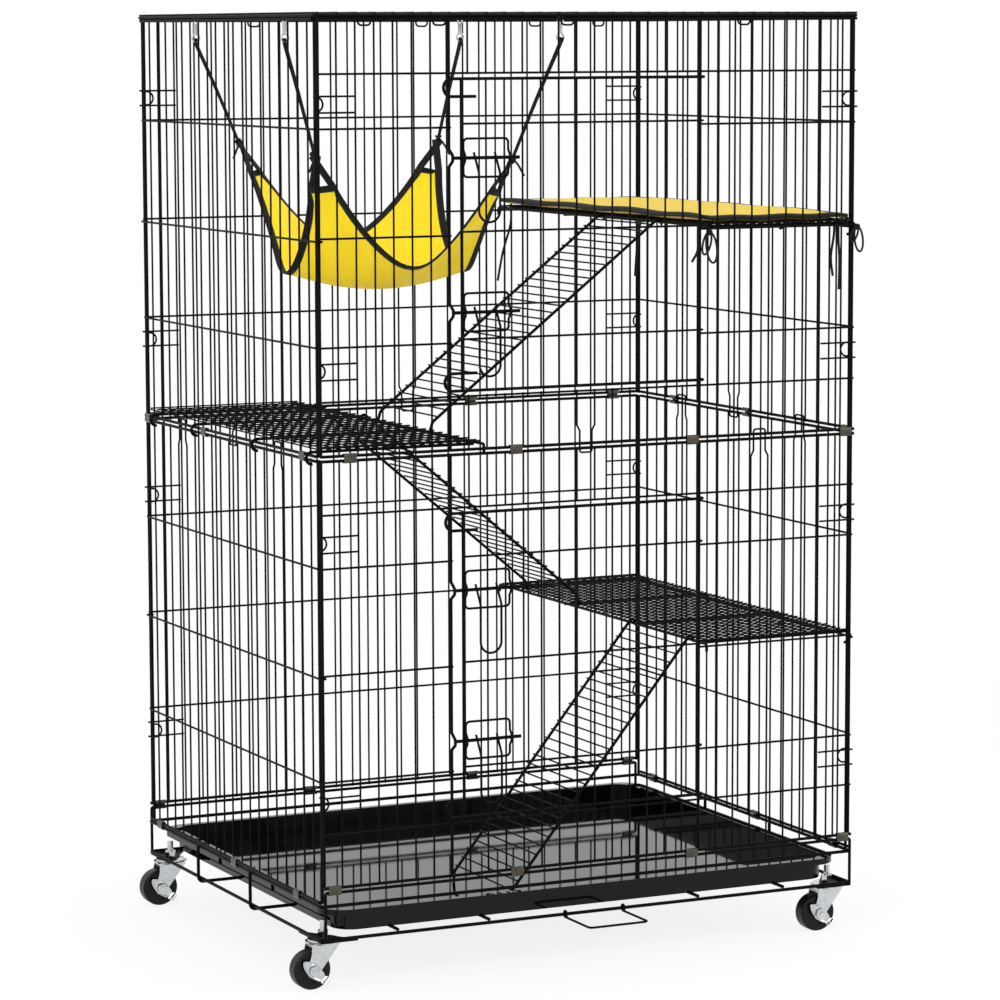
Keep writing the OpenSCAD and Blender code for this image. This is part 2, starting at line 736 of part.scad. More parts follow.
// Castors: a threaded stem with the upper race and the king pin, a nut, a fork, an axle, a wheel and a brake lever
race_t = 2.5;
pin_d = 9;
top_plate_t = 2;
fork_t = 2;
side_room = 1.5;
upper_race_z = castor_h - race_t;
lower_race_z = upper_race_z - free - race_t;
fork_top_z = lower_race_z - top_plate_t;
leg_y = wheel_w / 2 + side_room;
stem_rise = 24;
nut_h = 8;
nut_across = 13;
module at_castor(c) {
    translate([c.x * castor_x, c.y * castor_y, 0])
        children();
}
module castor_stems() {
    color(zinc)
        for (c = corners)
            at_castor(c) {
                translate([0, 0, upper_race_z]) {
                    cylinder(h = race_t, d = race_d - 6, $fn = 64);
                    cylinder(h = race_t + stem_rise, d = stem_d, $fn = 48);
                }
                translate([0, 0, fork_top_z - 1])
                    cylinder(h = castor_h - fork_top_z, d = pin_d, $fn = 48);
                translate([0, 0, fork_top_z - free - 2])
                    cylinder(h = 2, d1 = pin_d, d2 = pin_d + 4, $fn = 48);
            }
}
module castor_nuts() {
    color(zinc)
        for (c = corners)
            at_castor(c)
                translate([0, 0, plate_z + plate_t + touch])
                    difference() {
                        cylinder(h = nut_h, d = nut_across / cos(30), $fn = 6);
                        translate([0, 0, -1])
                            cylinder(h = nut_h + 2, d = stem_d + 2 * fit, $fn = 48);
                    }
}
module fork(c) {
    color(zinc)
        at_castor(c) {
            difference() {
                union() {
                    translate([0, 0, lower_race_z])
                        cylinder(h = race_t, d1 = race_d - 4, d2 = race_d, $fn = 64);
                    translate([-race_d / 2 + 4, -leg_y - fork_t, fork_top_z])
                        cube([race_d - 10, 2 * (leg_y + fork_t), top_plate_t + 0.5]);
                }
                translate([0, 0, fork_top_z - 1])
                    cylinder(h = race_t + top_plate_t + 2, d = pin_d + 2 * fit, $fn = 48);
            }
            for (s = [-1, 1])
                translate([0, s * (leg_y + fork_t / 2) + fork_t / 2, 0])
                    rotate([90, 0, 0])
                        linear_extrude(fork_t)
                            fork_leg();
        }
}
module fork_leg() {
    difference() {
        union() {
            polygon([[-race_d / 2 + 4, fork_top_z + 1], [race_d / 2 - 6, fork_top_z + 1], [-castor_trail + 8, wheel_d / 2 - 3],
                [-castor_trail - 8.5, wheel_d / 2 + 1], [-race_d / 2 + 4 - 3, wheel_d / 2 + 18]]);
            translate([-castor_trail, wheel_d / 2])
                circle(r = 9, $fn = 48);
        }
        translate([-castor_trail, wheel_d / 2])
            circle(d = axle_d + 2 * fit, $fn = 48);
    }
}
lever_t = 2;
axle_end = leg_y + fork_t + 2 * free + lever_t;
module at_axle(c) {
    at_castor(c)
        translate([-castor_trail, 0, wheel_d / 2])
            rotate([90, 0, 0])
                children();
}
module axle(c) {
    color(zinc)
        at_axle(c) {
            translate([0, 0, -leg_y - fork_t - free - 2])
                cylinder(h = leg_y + fork_t + free + 2 + axle_end, d = axle_d, $fn = 48);
            translate([0, 0, axle_end])
                cylinder(h = 2.5, d = axle_d + 5, $fn = 48);
            translate([0, 0, -leg_y - fork_t - free - 2.5])
                cylinder(h = 2.5, d = axle_d + 5, $fn = 48);
        }
}
module wheel(c) {
    w = wheel_w / 2;
    r = wheel_d / 2;
    color(tyre_black)
        at_axle(c)
            rotate_extrude($fn = 96)
                difference() {
                    union() {
                        translate([0, -w + 3])
                            square([r, 2 * w - 6]);
                        translate([0, -w])
                            square([r - 3, 2 * w]);
                        for (s = [-1, 1])
                            translate([r - 3, s * (w - 3)])
                                circle(r = 3, $fn = 32);
                    }
                    translate([-1, -w - 1])
                        square([axle_d / 2 + fit + 1, 2 * w + 2]);
                    for (s = [-1, 1])
                        translate([axle_d / 2 + 4, s * w - 1.2])
                            square([8, 2.4]);
                }
}
module brake(c) {
    color(zinc)
        at_axle(c)
            translate([0, 0, leg_y + fork_t + free])
                difference() {
                    union() {
                        linear_extrude(lever_t)
                            rotate(-32) {
                                translate([-14, -6])
                                    square([32, 12]);
                                translate([-14, 0])
                                    circle(r = 6, $fn = 32);
                                circle(r = 9, $fn = 48);
                            }
                        rotate([0, 0, -32])
                            translate([16, -6, 0])
                                cube([lever_t, 12, 10]);
                    }
                    translate([0, 0, -1])
                        cylinder(h = lever_t + 2, d = axle_d + 2 * fit, $fn = 48);
                }
}

// A solid between two grids of points, whose faces are triangles
module slab(top, bottom) {
    rows = len(top);
    cols = len(top[0]);
    n = rows * cols;
    rim = concat(
        [for (j = [0:1:cols - 2]) j], [for (i = [0:1:rows - 2]) i * cols + cols - 1],
        [for (j = [cols - 1:-1:1]) (rows - 1) * cols + j], [for (i = [rows - 1:-1:1]) i * cols]);
    polyhedron(
        points = [for (g = [top, bottom], line = g, p = line) p],
        faces = concat(
            [for (i = [0:rows - 2], j = [0:cols - 2], k = [0, 1]) let (a = i * cols + j)
                k == 0 ? [a, a + cols, a + 1] : [a + 1, a + cols, a + cols + 1]],
            [for (i = [0:rows - 2], j = [0:cols - 2], k = [0, 1]) let (a = n + i * cols + j)
                k == 0 ? [a, a + 1, a + cols] : [a + 1, a + cols + 1, a + cols]],
            [for (m = [0:len(rim) - 1], k = [0, 1]) let (a = rim[m], b = rim[(m + 1) % len(rim)])
                k == 0 ? [a, b, a + n] : [b, b + n, a + n]]
        )
    );
}

// The shelf's mat: crowned, thin at its bound edge and drawn in between its ties
mat_n = 22;
mat_x = shelf_inner - 3;
mat_far_x = face_x - wire_d - 3;
mat_y = side_end + 1;
// Rise of the mat's inner edge, which lies over the ramp's hooks, and the width that rises
mat_lift = 2.6;
lift_w = 20;
function steps(n) = [for (i = [0:n]) 2 * i / n - 1];
function mat_point(u, v, up) = let (
    crown = (1 - pow(u, 4)) * (1 - pow(v, 4)),
    mid = (mat_x + mat_far_x) / 2,
    half = (mat_far_x - mat_x) / 2,
    draw = 1 - 0.018 * (1 - pow(v, 2)),
    pull = 1 - 0.012 * (1 - pow(u, 2)),
    base = shelf_top(upper_seat, row_d) + seat + mat_lift * max(0, 1 - (u + 1) * half / lift_w),
    height = mat_edge + (mat_t - mat_edge) * sqrt(max(0, crown))
) [mid + u * half * draw, v * mat_y * pull, base + (up ? height : 0)];
module shelf_mat() {
    color(yellow)
        slab([for (v = steps(mat_n)) [for (u = steps(mat_n)) mat_point(u, v, true)]],
            [for (v = steps(mat_n)) [for (u = steps(mat_n)) mat_point(u, v, false)]]);
}

// The hammock: a sheet of cloth that hangs from its corners, with its edges drawn in and gathered at the corners
hammock_x = -152;
hammock_y = 33;
hammock_half_x = 125;
hammock_half_y = 100;
hammock_low = 868;
hammock_high = 1010;
hammock_draw = 0.16;
hammock_steep = 2.3;
fold_depth = 7;
fold_count = 2;
cloth_n = 22;
function hammock_point(u, v) = let (
    rise = pow((u * u + v * v) / 2, hammock_steep),
    fold = fold_depth * pow(abs(u * v), 1.5) * cos(180 * fold_count * (abs(u) - abs(v))),
    x = hammock_x + hammock_half_x * u * (1 - hammock_draw * (1 - v * v)),
    y = hammock_y + hammock_half_y * v * (1 - hammock_draw * (1 - u * u))
) [x, y, hammock_low + (hammock_high - hammock_low) * rise + fold];
module hammock() {
    color(yellow)
        slab([for (v = steps(cloth_n)) [for (u = steps(cloth_n)) hammock_point(u, v) + [0, 0, cloth_t]]],
            [for (v = steps(cloth_n)) [for (u = steps(cloth_n)) hammock_point(u, v)]]);
}

// Snap hooks on the top panel's cross wires, and the doubled cords from them to the hammock's corners
hang_x = [-347, 43];
hang_y = [-122, 188];
hook_r = 7;
hook_wire = 3;
barrel_l = 13;
hook_z = top_row_z - (hook_r - hook_wire / 2 - row_d / 2 - seat);
eye_z = hook_z - hook_r - barrel_l;
module hammock_hooks() {
    color(zinc)
        for (x = hang_x, y = hang_y)
            translate([x, y, 0]) {
                translate([0, 0, hook_z])
                    rotate([0, 90, 0])
                        rotate_extrude($fn = 48)
                            translate([hook_r, 0])
                                circle(d = hook_wire, $fn = 24);
                translate([0, 0, eye_z])
                    cylinder(h = barrel_l + 1, d = 6, $fn = 24);
                translate([0, 0, eye_z - 4])
                    rotate([90, 0, 0])
                        rotate_extrude($fn = 48)
                            translate([5, 0])
                                circle(d = 2.6, $fn = 24);
            }
}
knot_d = 13;
knot_h = 11;
knot_rise = 46;
strand_apart = 2.4;
module hammock_cords() {
    color(binding)
        for (i = [0, 1], j = [0, 1]) {
            corner = hammock_point(2 * i - 1, 2 * j - 1) + [0, 0, cloth_t + seat];
            hook = [hang_x[i], hang_y[j], eye_z - 9 - cord_d / 2 - seat];
            lead = unit(hook - corner);
            translate(corner + lead * knot_rise)
                rotate([0, acos(lead.z), atan2(lead.y, lead.x)])
                    rotate_extrude($fn = 48)
                        polygon([[0, -knot_h / 2], [knot_d / 2 - 2, -knot_h / 2], [knot_d / 2, -knot_h / 4],
                            [knot_d / 2, knot_h / 4], [knot_d / 2 - 2, knot_h / 2], [0, knot_h / 2]]);
            for (s = [-1, 1])
                rod(corner + lead * cord_d / 4 + [s * strand_apart, 0, 0], hook + [s * strand_apart, 0, 0], cord_d);
        }
}

// A tube swept along points, whose rings don't twist
function tangent(p, i) = unit(p[min(i + 1, len(p) - 1)] - p[max(i - 1, 0)]);
function square_to(n, t) = unit(n - t * (n * t));
function sides_of(p, i = 0, n = [1, 0.3, 0.2]) = i == len(p) ? [] :
    let (m = square_to(n, tangent(p, i))) concat([m], sides_of(p, i + 1, m));
module tube(p, d, sides = 8) {
    ns = sides_of(p);
    last = len(p) - 1;
    points = [for (i = [0:last], k = [0:sides - 1]) let (t = tangent(p, i), a = 360 * k / sides)
        p[i] + d / 2 * (cos(a) * ns[i] + sin(a) * cross(t, ns[i]))];
    wall = [for (i = [0:last - 1], k = [0:sides - 1], h = [0, 1])
        let (a = i * sides + k, b = i * sides + (k + 1) % sides)
            h == 0 ? [a, a + sides, b] : [b, a + sides, b + sides]];
    caps = concat(
        [for (k = [1:sides - 2]) [0, k, k + 1]],
        [for (k = [1:sides - 2]) [last * sides, last * sides + k + 1, last * sides + k]]);
    polyhedron(points = points, faces = concat(wall, caps));
}
// Points along a smooth curve through the given ones
function spline(p, n) = [for (i = [0:len(p) - 2], k = [0:n - 1]) let (
    t = k / n,
    a = p[max(i - 1, 0)],
    b = p[i],
    c = p[i + 1],
    e = p[min(i + 2, len(p) - 1)]
) 0.5 * (2 * b + (c - a) * t + (2 * a - 5 * b + 4 * c - e) * t * t + (3 * b - 3 * c + e - a) * t * t * t)];
function curve(p, n) = concat(spline(p, n), [p[len(p) - 1]]);

// Routes of the mat's ties, which hang through the shelf's mesh
tie_routes = [
    [[373.3, -280, 955.8], [373.3, -280, 930], [374, -282, 900], [372, -284, 862]],
    [[366.6, -280, 955.8], [366.6, -280, 935], [362, -280, 905], [364, -282, 880]],
    [[164.4, -280, 957.5], [164.4, -280, 938], [160, -284, 918], [150, -288, 905]],
    [[164.4, 280, 957.5], [164.4, 280, 930], [150, 276, 890], [140, 272, 850]],
    [[373.3, 280, 955.8], [373.3, 280, 930], [366, 276, 900], [360, 272, 850]]
];
module mat_ties() {
    color(binding)
        for (route = tie_routes)
            tube(curve(route, 4), cord_d);
}

function castor(name) = corners[search([name], ["front_left", "front_right", "back_left", "back_right"])[0]];

base_frame();
corner_plates();
front_panel(lower_z, [24], true);  // front_lower_panel
back_panel(lower_z, [24], true);  // back_lower_panel
side_panel(-90, side_low, lower_z, [4, 15], true);  // left_lower_panel
side_panel(90, side_low, lower_z, [4, 15], true);  // right_lower_panel
front_panel(upper_z, [14], false);  // front_upper_panel
back_panel(upper_z, [14], false);  // back_upper_panel
side_panel(-90, upper_z, upper_z, [10], false);  // left_upper_panel
side_panel(90, upper_z, upper_z, [10], false);  // right_upper_panel
top_panel();
bottom_clips();
middle_clips();
door(lower_z);  // lower_door
door(upper_z);  // upper_door
latch(bolt_heights(lower_z)[0]);  // lower_door_low_latch
latch(bolt_heights(lower_z)[1]);  // lower_door_high_latch
latch(bolt_heights(upper_z)[0]);  // upper_door_low_latch
latch(bolt_heights(upper_z)[1]);  // upper_door_high_latch
lower_shelf();
middle_shelf();
upper_shelf();
lower_ramp();
middle_ramp();
upper_ramp();
tray();
tray_gate();
shelf_mat();
mat_ties();
hammock();
hammock_cords();
hammock_hooks();
castor_stems();
castor_nuts();
fork(castor("front_left"));  // front_left_fork
axle(castor("front_left"));  // front_left_axle
wheel(castor("front_left"));  // front_left_wheel
brake(castor("front_left"));  // front_left_brake
fork(castor("front_right"));  // front_right_fork
axle(castor("front_right"));  // front_right_axle
wheel(castor("front_right"));  // front_right_wheel
brake(castor("front_right"));  // front_right_brake
fork(castor("back_left"));  // back_left_fork
axle(castor("back_left"));  // back_left_axle
wheel(castor("back_left"));  // back_left_wheel
brake(castor("back_left"));  // back_left_brake
fork(castor("back_right"));  // back_right_fork
axle(castor("back_right"));  // back_right_axle
wheel(castor("back_right"));  // back_right_wheel
brake(castor("back_right"));  // back_right_brake
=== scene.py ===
"""Wire cat cage on castors: camera, finishes, ties, shelf wires, castors, hammock, mat, bows and studio."""
import json
import math

import bpy
import numpy as np
from mathutils import Matrix, Vector


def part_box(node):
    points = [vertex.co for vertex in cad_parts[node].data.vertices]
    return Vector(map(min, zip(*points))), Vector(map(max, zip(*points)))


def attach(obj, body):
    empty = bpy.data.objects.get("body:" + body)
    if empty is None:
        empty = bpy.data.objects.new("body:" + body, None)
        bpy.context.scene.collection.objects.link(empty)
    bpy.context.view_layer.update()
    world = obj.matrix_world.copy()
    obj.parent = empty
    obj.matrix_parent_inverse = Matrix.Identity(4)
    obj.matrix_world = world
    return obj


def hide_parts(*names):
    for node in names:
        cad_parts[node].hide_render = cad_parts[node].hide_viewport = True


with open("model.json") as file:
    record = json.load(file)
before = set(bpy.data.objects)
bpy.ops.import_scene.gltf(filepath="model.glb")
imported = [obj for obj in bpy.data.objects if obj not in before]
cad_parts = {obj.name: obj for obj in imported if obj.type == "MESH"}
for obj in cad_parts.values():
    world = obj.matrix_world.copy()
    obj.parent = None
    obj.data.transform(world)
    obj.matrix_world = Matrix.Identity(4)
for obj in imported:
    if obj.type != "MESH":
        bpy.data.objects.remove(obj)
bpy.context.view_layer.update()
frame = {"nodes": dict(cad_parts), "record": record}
nodes = frame["nodes"]

MM = 0.001


# Small tools

def put(name, data):
    """An object that holds this data, in the scene."""
    made = bpy.data.objects.new(name, data)
    bpy.context.scene.collection.objects.link(made)
    return made


def fill(tree, node, inputs):
    """Gives each input of a shader node its value or its link."""
    for key, value in inputs.items():
        if isinstance(value, bpy.types.NodeSocket):
            tree.links.new(value, node.inputs[key])
        else:
            node.inputs[key].default_value = value


def add(tree, kind, inputs=None, **settings):
    """A shader node with its settings, and what each input holds or is linked from."""
    made = tree.nodes.new("ShaderNode" + kind)
    for key, value in settings.items():
        setattr(made, key, value)
    fill(tree, made, inputs or {})
    return made


def linear(text):
    """The linear colour of an sRGB hex value."""
    parts = [int(text[i:i + 2], 16) / 255 for i in (1, 3, 5)]
    return [c / 12.92 if c < 0.04045 else ((c + 0.055) / 1.055) ** 2.4 for c in parts] + [1]


def new_material(name):
    """A material, its node tree and its surface shader."""
    material = bpy.data.materials.new(name)
    material.use_nodes = True
    return material, material.node_tree, material.node_tree.nodes["Principled BSDF"]


def mesh_piece(name, points, faces, material, smooth=True, uv=None):
    """A piece from its points and faces, with a place on the flat cloth for each point where it has a weave."""
    mesh = bpy.data.meshes.new(name)
    mesh.from_pydata([tuple(p) for p in points], [], faces)
    mesh.update()
    if uv is not None:
        layer = mesh.uv_layers.new(name="flat")
        for loop in mesh.loops:
            layer.data[loop.index].uv = uv[loop.vertex_index]
    if smooth:
        mesh.shade_smooth()
    mesh.materials.append(material)
    return put(name, mesh)


def loft(name, rings, material, smooth=False, uv=None, closed=False):
    """A skin through rings of equally many points, capped at both ends or closed into a loop."""
    n, m = len(rings), len(rings[0])
    faces = []
    for i in range(n if closed else n - 1):
        a, b = i * m, (i + 1) % n * m
        faces += [[a + k, a + (k + 1) % m, b + (k + 1) % m, b + k] for k in range(m)]
    if not closed:
        faces += [list(range(m))[::-1], [(n - 1) * m + k for k in range(m)]]
    return mesh_piece(name, [p for ring in rings for p in ring], faces, material, smooth, uv)


def smooth_route(points, steps):
    """Points along the smooth curve through the given ones, as the part's source runs its cords."""
    p = [np.array(q, float) for q in points]
    out = []
    for i in range(len(p) - 1):
        a, b, c, e = p[max(i - 1, 0)], p[i], p[i + 1], p[min(i + 2, len(p) - 1)]
        for k in range(steps):
            t = k / steps
            out.append(0.5 * (2 * b + (c - a) * t + (2 * a - 5 * b + 4 * c - e) * t * t
                              + (3 * b - 3 * c + e - a) * t ** 3))
    return out + [p[-1]]


def tube(name, points, width, material, sides=10, closed=False):
    """A round tube as a mesh, whose rings don't twist along its line."""
    p = np.array(points, float)
    after = np.roll(p, -1, 0) if closed else np.vstack([p[1:], p[-1:]])
    before = np.roll(p, 1, 0) if closed else np.vstack([p[:1], p[:-1]])
    tangents = after - before
    tangents /= np.linalg.norm(tangents, axis=1)[:, None]
    normal = np.cross(tangents[0], (0.3, 0.2, 1) if abs(tangents[0][2]) < 0.9 else (1, 0.2, 0.3))
    rings = []
    for middle, tangent in zip(p, tangents):
        normal = normal - tangent * (normal @ tangent)
        normal /= np.linalg.norm(normal)
        other = np.cross(tangent, normal)
        turns = [2 * math.pi * k / sides for k in range(sides)]
        rings.append([middle + width / 2 * (math.cos(a) * normal + math.sin(a) * other) for a in turns])
    return loft(name, rings, material, smooth=True, closed=closed)


# Camera, solved from the photograph's corners

CAMERA_PLACE = (-2.2570, -4.7278, 1.1972)
# Yaw, pitch and roll in degrees
CAMERA_TURN = (-25.636, -6.801, -0.184)
# Focal length in millimetres, for a sensor 36 mm wide
LENS = 140.49
SENSOR = 36


def aim_camera():
    """Makes the camera at its place and turns it, with roll about its own line of sight."""
    yaw, pitch, roll = (math.radians(a) for a in CAMERA_TURN)
    forward = Vector((-math.sin(yaw) * math.cos(pitch), math.cos(yaw) * math.cos(pitch), math.sin(pitch)))
    level_right = Vector((math.cos(yaw), math.sin(yaw), 0))
    level_up = level_right.cross(forward)
    right = math.cos(roll) * level_right + math.sin(roll) * level_up
    up = math.cos(roll) * level_up - math.sin(roll) * level_right
    data = bpy.data.cameras.new("camera")
    data.sensor_width = SENSOR
    data.lens = LENS
    data.clip_end = 100
    camera = put("camera", data)
    axes = Matrix((right, up, -forward)).transposed()
    camera.matrix_world = Matrix.Translation(CAMERA_PLACE) @ axes.to_4x4()
    bpy.context.scene.camera = camera


aim_camera()


# Finishes

def powder_coat():
    """Powder-coated steel wire: a near-black satin skin whose faint orange peel breaks up the highlight."""
    material, tree, shader = new_material("powder_coated_wire")
    place = add(tree, "TexCoord").outputs["Object"]
    # The coat's depth drifts over about 70 mm
    drift = add(tree, "TexNoise", {"Vector": place, "Scale": 14, "Detail": 3}).outputs["Fac"]
    ramp = add(tree, "ValToRGB", {"Fac": drift})
    ramp.color_ramp.elements[0].color = linear("#040405")
    ramp.color_ramp.elements[1].color = linear("#080809")
    rough = add(tree, "MapRange", {"Value": drift, "To Min": 0.40, "To Max": 0.50}).outputs["Result"]
    # The peel is about 0.8 mm across
    peel = add(tree, "TexNoise", {"Vector": place, "Scale": 1250, "Detail": 1}).outputs["Fac"]
    bump = add(tree, "Bump", {"Height": peel, "Strength": 0.08, "Distance": 0.0001}).outputs["Normal"]
    fill(tree, shader, {"Base Color": ramp.outputs["Color"], "Roughness": rough, "Normal": bump,
                        "Specular IOR Level": 0.05})
    return material


def zinc_plate():
    """Bright zinc-plated pressed steel: cool, a little cloudy, with softly blurred reflections."""
    material, tree, shader = new_material("bright_zinc_plate")
    place = add(tree, "TexCoord").outputs["Object"]
    # The plating clouds over about 6 mm
    cloud = add(tree, "TexNoise", {"Vector": place, "Scale": 160, "Detail": 4}).outputs["Fac"]
    ramp = add(tree, "ValToRGB", {"Fac": cloud})
    ramp.color_ramp.elements[0].color = linear("#adb1b4")
    ramp.color_ramp.elements[1].color = linear("#dfe1e2")
    rough = add(tree, "MapRange", {"Value": cloud, "To Min": 0.1, "To Max": 0.24}).outputs["Result"]
    # Press marks about 1.5 mm across
    marks = add(tree, "TexNoise", {"Vector": place, "Scale": 650, "Detail": 2}).outputs["Fac"]
    bump = add(tree, "Bump", {"Height": marks, "Strength": 0.12, "Distance": 0.0001}).outputs["Normal"]
    fill(tree, shader, {"Base Color": ramp.outputs["Color"], "Roughness": rough, "Normal": bump, "Metallic": 1})
    return material


def spring_steel():
    """Bare tempered spring steel of the clips: dull, brownish, with a rolled grain."""
    material, tree, shader = new_material("tempered_spring_steel")
    place = add(tree, "TexCoord").outputs["Object"]
    # Temper colours change over about 11 mm
    patch = add(tree, "TexNoise", {"Vector": place, "Scale": 90, "Detail": 5}).outputs["Fac"]
    ramp = add(tree, "ValToRGB", {"Fac": patch})
    ramp.color_ramp.elements[0].color = linear("#2c2a27")
    ramp.color_ramp.elements[1].color = linear("#69645c")
    # The rolled grain is 0.5 mm across and about 8 mm long
    spread = add(tree, "Mapping", {"Vector": place, "Scale": (2000, 2000, 120)}).outputs["Vector"]
    grain = add(tree, "TexNoise", {"Vector": spread, "Scale": 1, "Detail": 1}).outputs["Fac"]
    bump = add(tree, "Bump", {"Height": grain, "Strength": 0.2, "Distance": 0.0001}).outputs["Normal"]
    fill(tree, shader, {"Base Color": ramp.outputs["Color"], "Normal": bump, "Metallic": 1, "Roughness": 0.3})
    return material


def tray_plastic():
    """Glossy black high-impact polystyrene, vacuum formed: mirror-like, so that it shows the wires over it."""
    material, tree, shader = new_material("glossy_black_polystyrene")
    place = add(tree, "TexCoord").outputs["Object"]
    # Dust and finger marks about 17 mm across
    dust = add(tree, "TexNoise", {"Vector": place, "Scale": 60, "Detail": 6}).outputs["Fac"]
    ramp = add(tree, "ValToRGB", {"Fac": dust})
    ramp.color_ramp.elements[0].color = linear("#030304")
    ramp.color_ramp.elements[1].color = linear("#070708")
    rough = add(tree, "MapRange", {"Value": dust, "To Min": 0.03, "To Max": 0.07}).outputs["Result"]
    # The sheet's waviness is about 60 mm across
    wave = add(tree, "TexNoise", {"Vector": place, "Scale": 16, "Detail": 1}).outputs["Fac"]
    bump = add(tree, "Bump", {"Height": wave, "Strength": 0.04, "Distance": 0.001}).outputs["Normal"]
    fill(tree, shader, {"Base Color": ramp.outputs["Color"], "Roughness": rough, "Normal": bump,
                        "IOR": 1.59, "Specular IOR Level": 0.15})
    return material


def tyre_rubber():
    """Moulded black rubber on a black nylon core: matt tread, slightly shiny sides."""
    material, tree, shader = new_material("moulded_black_rubber")
    place = add(tree, "TexCoord").outputs["Object"]
    # Scuffs about 4.5 mm across
    scuff = add(tree, "TexNoise", {"Vector": place, "Scale": 220, "Detail": 5}).outputs["Fac"]
    ramp = add(tree, "ValToRGB", {"Fac": scuff})
    ramp.color_ramp.elements[0].color = linear("#070708")
    ramp.color_ramp.elements[1].color = linear("#101011")
    rough = add(tree, "MapRange", {"Value": scuff, "To Min": 0.3, "To Max": 0.42}).outputs["Result"]
    bump = add(tree, "Bump", {"Height": scuff, "Strength": 0.15, "Distance": 0.0002}).outputs["Normal"]
    fill(tree, shader, {"Base Color": ramp.outputs["Color"], "Roughness": rough, "Normal": bump,
                        "Specular IOR Level": 0.2})
    return material


def ripple(tree, place, pitch):
    """A sine wave of this pitch along a coordinate, from -1 to 1."""
    angle = add(tree, "Math", {0: place, 1: 2 * math.pi / pitch}, operation="MULTIPLY").outputs[0]
    return add(tree, "Math", {0: angle}, operation="SINE").outputs[0]


def cloth(name, dark, light, thread, strength, glow):
    """A plain-woven polyester, whose threads cross over and under. Glow is the light it lets through."""
    material, tree, shader = new_material(name)
    flat = add(tree, "UVMap", uv_map="flat").outputs["UV"]
    split = add(tree, "SeparateXYZ", {"Vector": flat}).outputs
    warp, weft = (ripple(tree, split[axis], 2 * thread) for axis in ("X", "Y"))
    weave = add(tree, "Math", {0: warp, 1: weft}, operation="MULTIPLY").outputs[0]
    # Thick places in the threads about 4 mm long, and a drift of the dye over about 45 mm
    slub = add(tree, "TexNoise", {"Vector": flat, "Scale": 240, "Detail": 4}).outputs["Fac"]
    drift = add(tree, "TexNoise", {"Vector": flat, "Scale": 22, "Detail": 3}).outputs["Fac"]
    # Painted shade: the colour is darker where the threads dip under each other in the weave, and lighter on
    # their tops
    painted_weave_shade = add(tree, "MapRange", {"Value": weave, "From Min": -1, "To Min": 0.2,
                                   "To Max": 0.6}).outputs["Result"]
    mixed = add(tree, "Math", {0: painted_weave_shade, 1: drift}, operation="ADD").outputs[0]
    share = add(tree, "Math", {0: mixed, 1: 0.62}, operation="MULTIPLY").outputs[0]
    ramp = add(tree, "ValToRGB", {"Fac": share})
    ramp.color_ramp.elements[0].color = linear(dark)
    ramp.color_ramp.elements[1].color = linear(light)
    height = add(tree, "Math", {0: weave, 1: slub}, operation="ADD").outputs[0]
    bump = add(tree, "Bump", {"Height": height, "Strength": strength, "Distance": 0.0003}).outputs["Normal"]
    fill(tree, shader, {"Base Color": ramp.outputs["Color"], "Normal": bump, "Roughness": 0.78,
                        "Specular IOR Level": 0.3, "Sheen Weight": 0.08, "Sheen Roughness": 0.4,
                        "Subsurface Weight": glow, "Subsurface Radius": (1, 0.8, 0.25),
                        "Subsurface Scale": 4 * MM})
    return material


def braided_cord():
    """Braided black polyester cord: tight crossing strands with a dull sheen."""
    material, tree, shader = new_material("braided_polyester_cord")
    place = add(tree, "TexCoord").outputs["Object"]
    # The braid's strands are about 1.2 mm apart
    wave = add(tree, "TexWave", {"Vector": place, "Scale": 130, "Distortion": 1.5, "Detail": 1},
               bands_direction="DIAGONAL").outputs["Fac"]
    # Painted shade: the colour is darker in the grooves between the strands, where the bump dips
    ramp = add(tree, "ValToRGB", {"Fac": wave})
    ramp.color_ramp.elements[0].color = linear("#08080a")
    ramp.color_ramp.elements[1].color = linear("#151517")
    bump = add(tree, "Bump", {"Height": wave, "Strength": 0.6, "Distance": 0.0004}).outputs["Normal"]
    fill(tree, shader, {"Base Color": ramp.outputs["Color"], "Normal": bump, "Roughness": 0.72,
                        "Specular IOR Level": 0.2})
    return material


def binding_tape():
    """Woven black polyester binding: ribs 1 mm apart, and a row of 3 mm stitches near its inner edge."""
    material, tree, shader = new_material("woven_binding_tape")
    flat = add(tree, "UVMap", uv_map="flat").outputs["UV"]
    split = add(tree, "SeparateXYZ", {"Vector": flat}).outputs
    rib, along = (ripple(tree, split["X"], pitch * MM) for pitch in (1, 3))
    dash = add(tree, "Math", {0: along, 1: -0.4}, operation="GREATER_THAN").outputs[0]
    # The row lies 6.8 mm in from the edge, and the stitches are 0.9 mm thick
    row = add(tree, "Math", {0: split["Y"], 1: 6.8 * MM, 2: 0.45 * MM}, operation="COMPARE").outputs[0]
    stitch = add(tree, "Math", {0: dash, 1: row}, operation="MULTIPLY").outputs[0]
    colour = add(tree, "Mix", {0: stitch, 6: linear("#0b0b0c"), 7: linear("#2a2a2c")},
                 data_type="RGBA").outputs[2]
    height = add(tree, "Math", {0: rib, 1: stitch}, operation="ADD").outputs[0]
    bump = add(tree, "Bump", {"Height": height, "Strength": 0.45, "Distance": 0.0003}).outputs["Normal"]
    fill(tree, shader, {"Base Color": colour, "Normal": bump, "Roughness": 0.7, "Specular IOR Level": 0.2,
                        "Sheen Weight": 0.05})
    return material


wire_finish = powder_coat()
zinc_finish = zinc_plate()
clip_finish = spring_steel()
tray_finish = tray_plastic()
tyre_finish = tyre_rubber()
cord_finish = braided_cord()
tape_finish = binding_tape()
# Real threads are 0.4 mm apart, drawn at 1.4 mm so that they show
THREAD = 1.4 * MM
cloth_finish = cloth("woven_yellow_polyester", "#ecc414", "#ffe326", THREAD, strength=0.35, glow=0.6)
# The mat's cloth is the hammock's yellow painted darker: painted shade against the stronger lamp light on the
# mat's top
mat_cloth_painted_darker = cloth("yellow_polyester_painted_darker", "#dab82c", "#f1d240", THREAD, strength=0.5, glow=0)

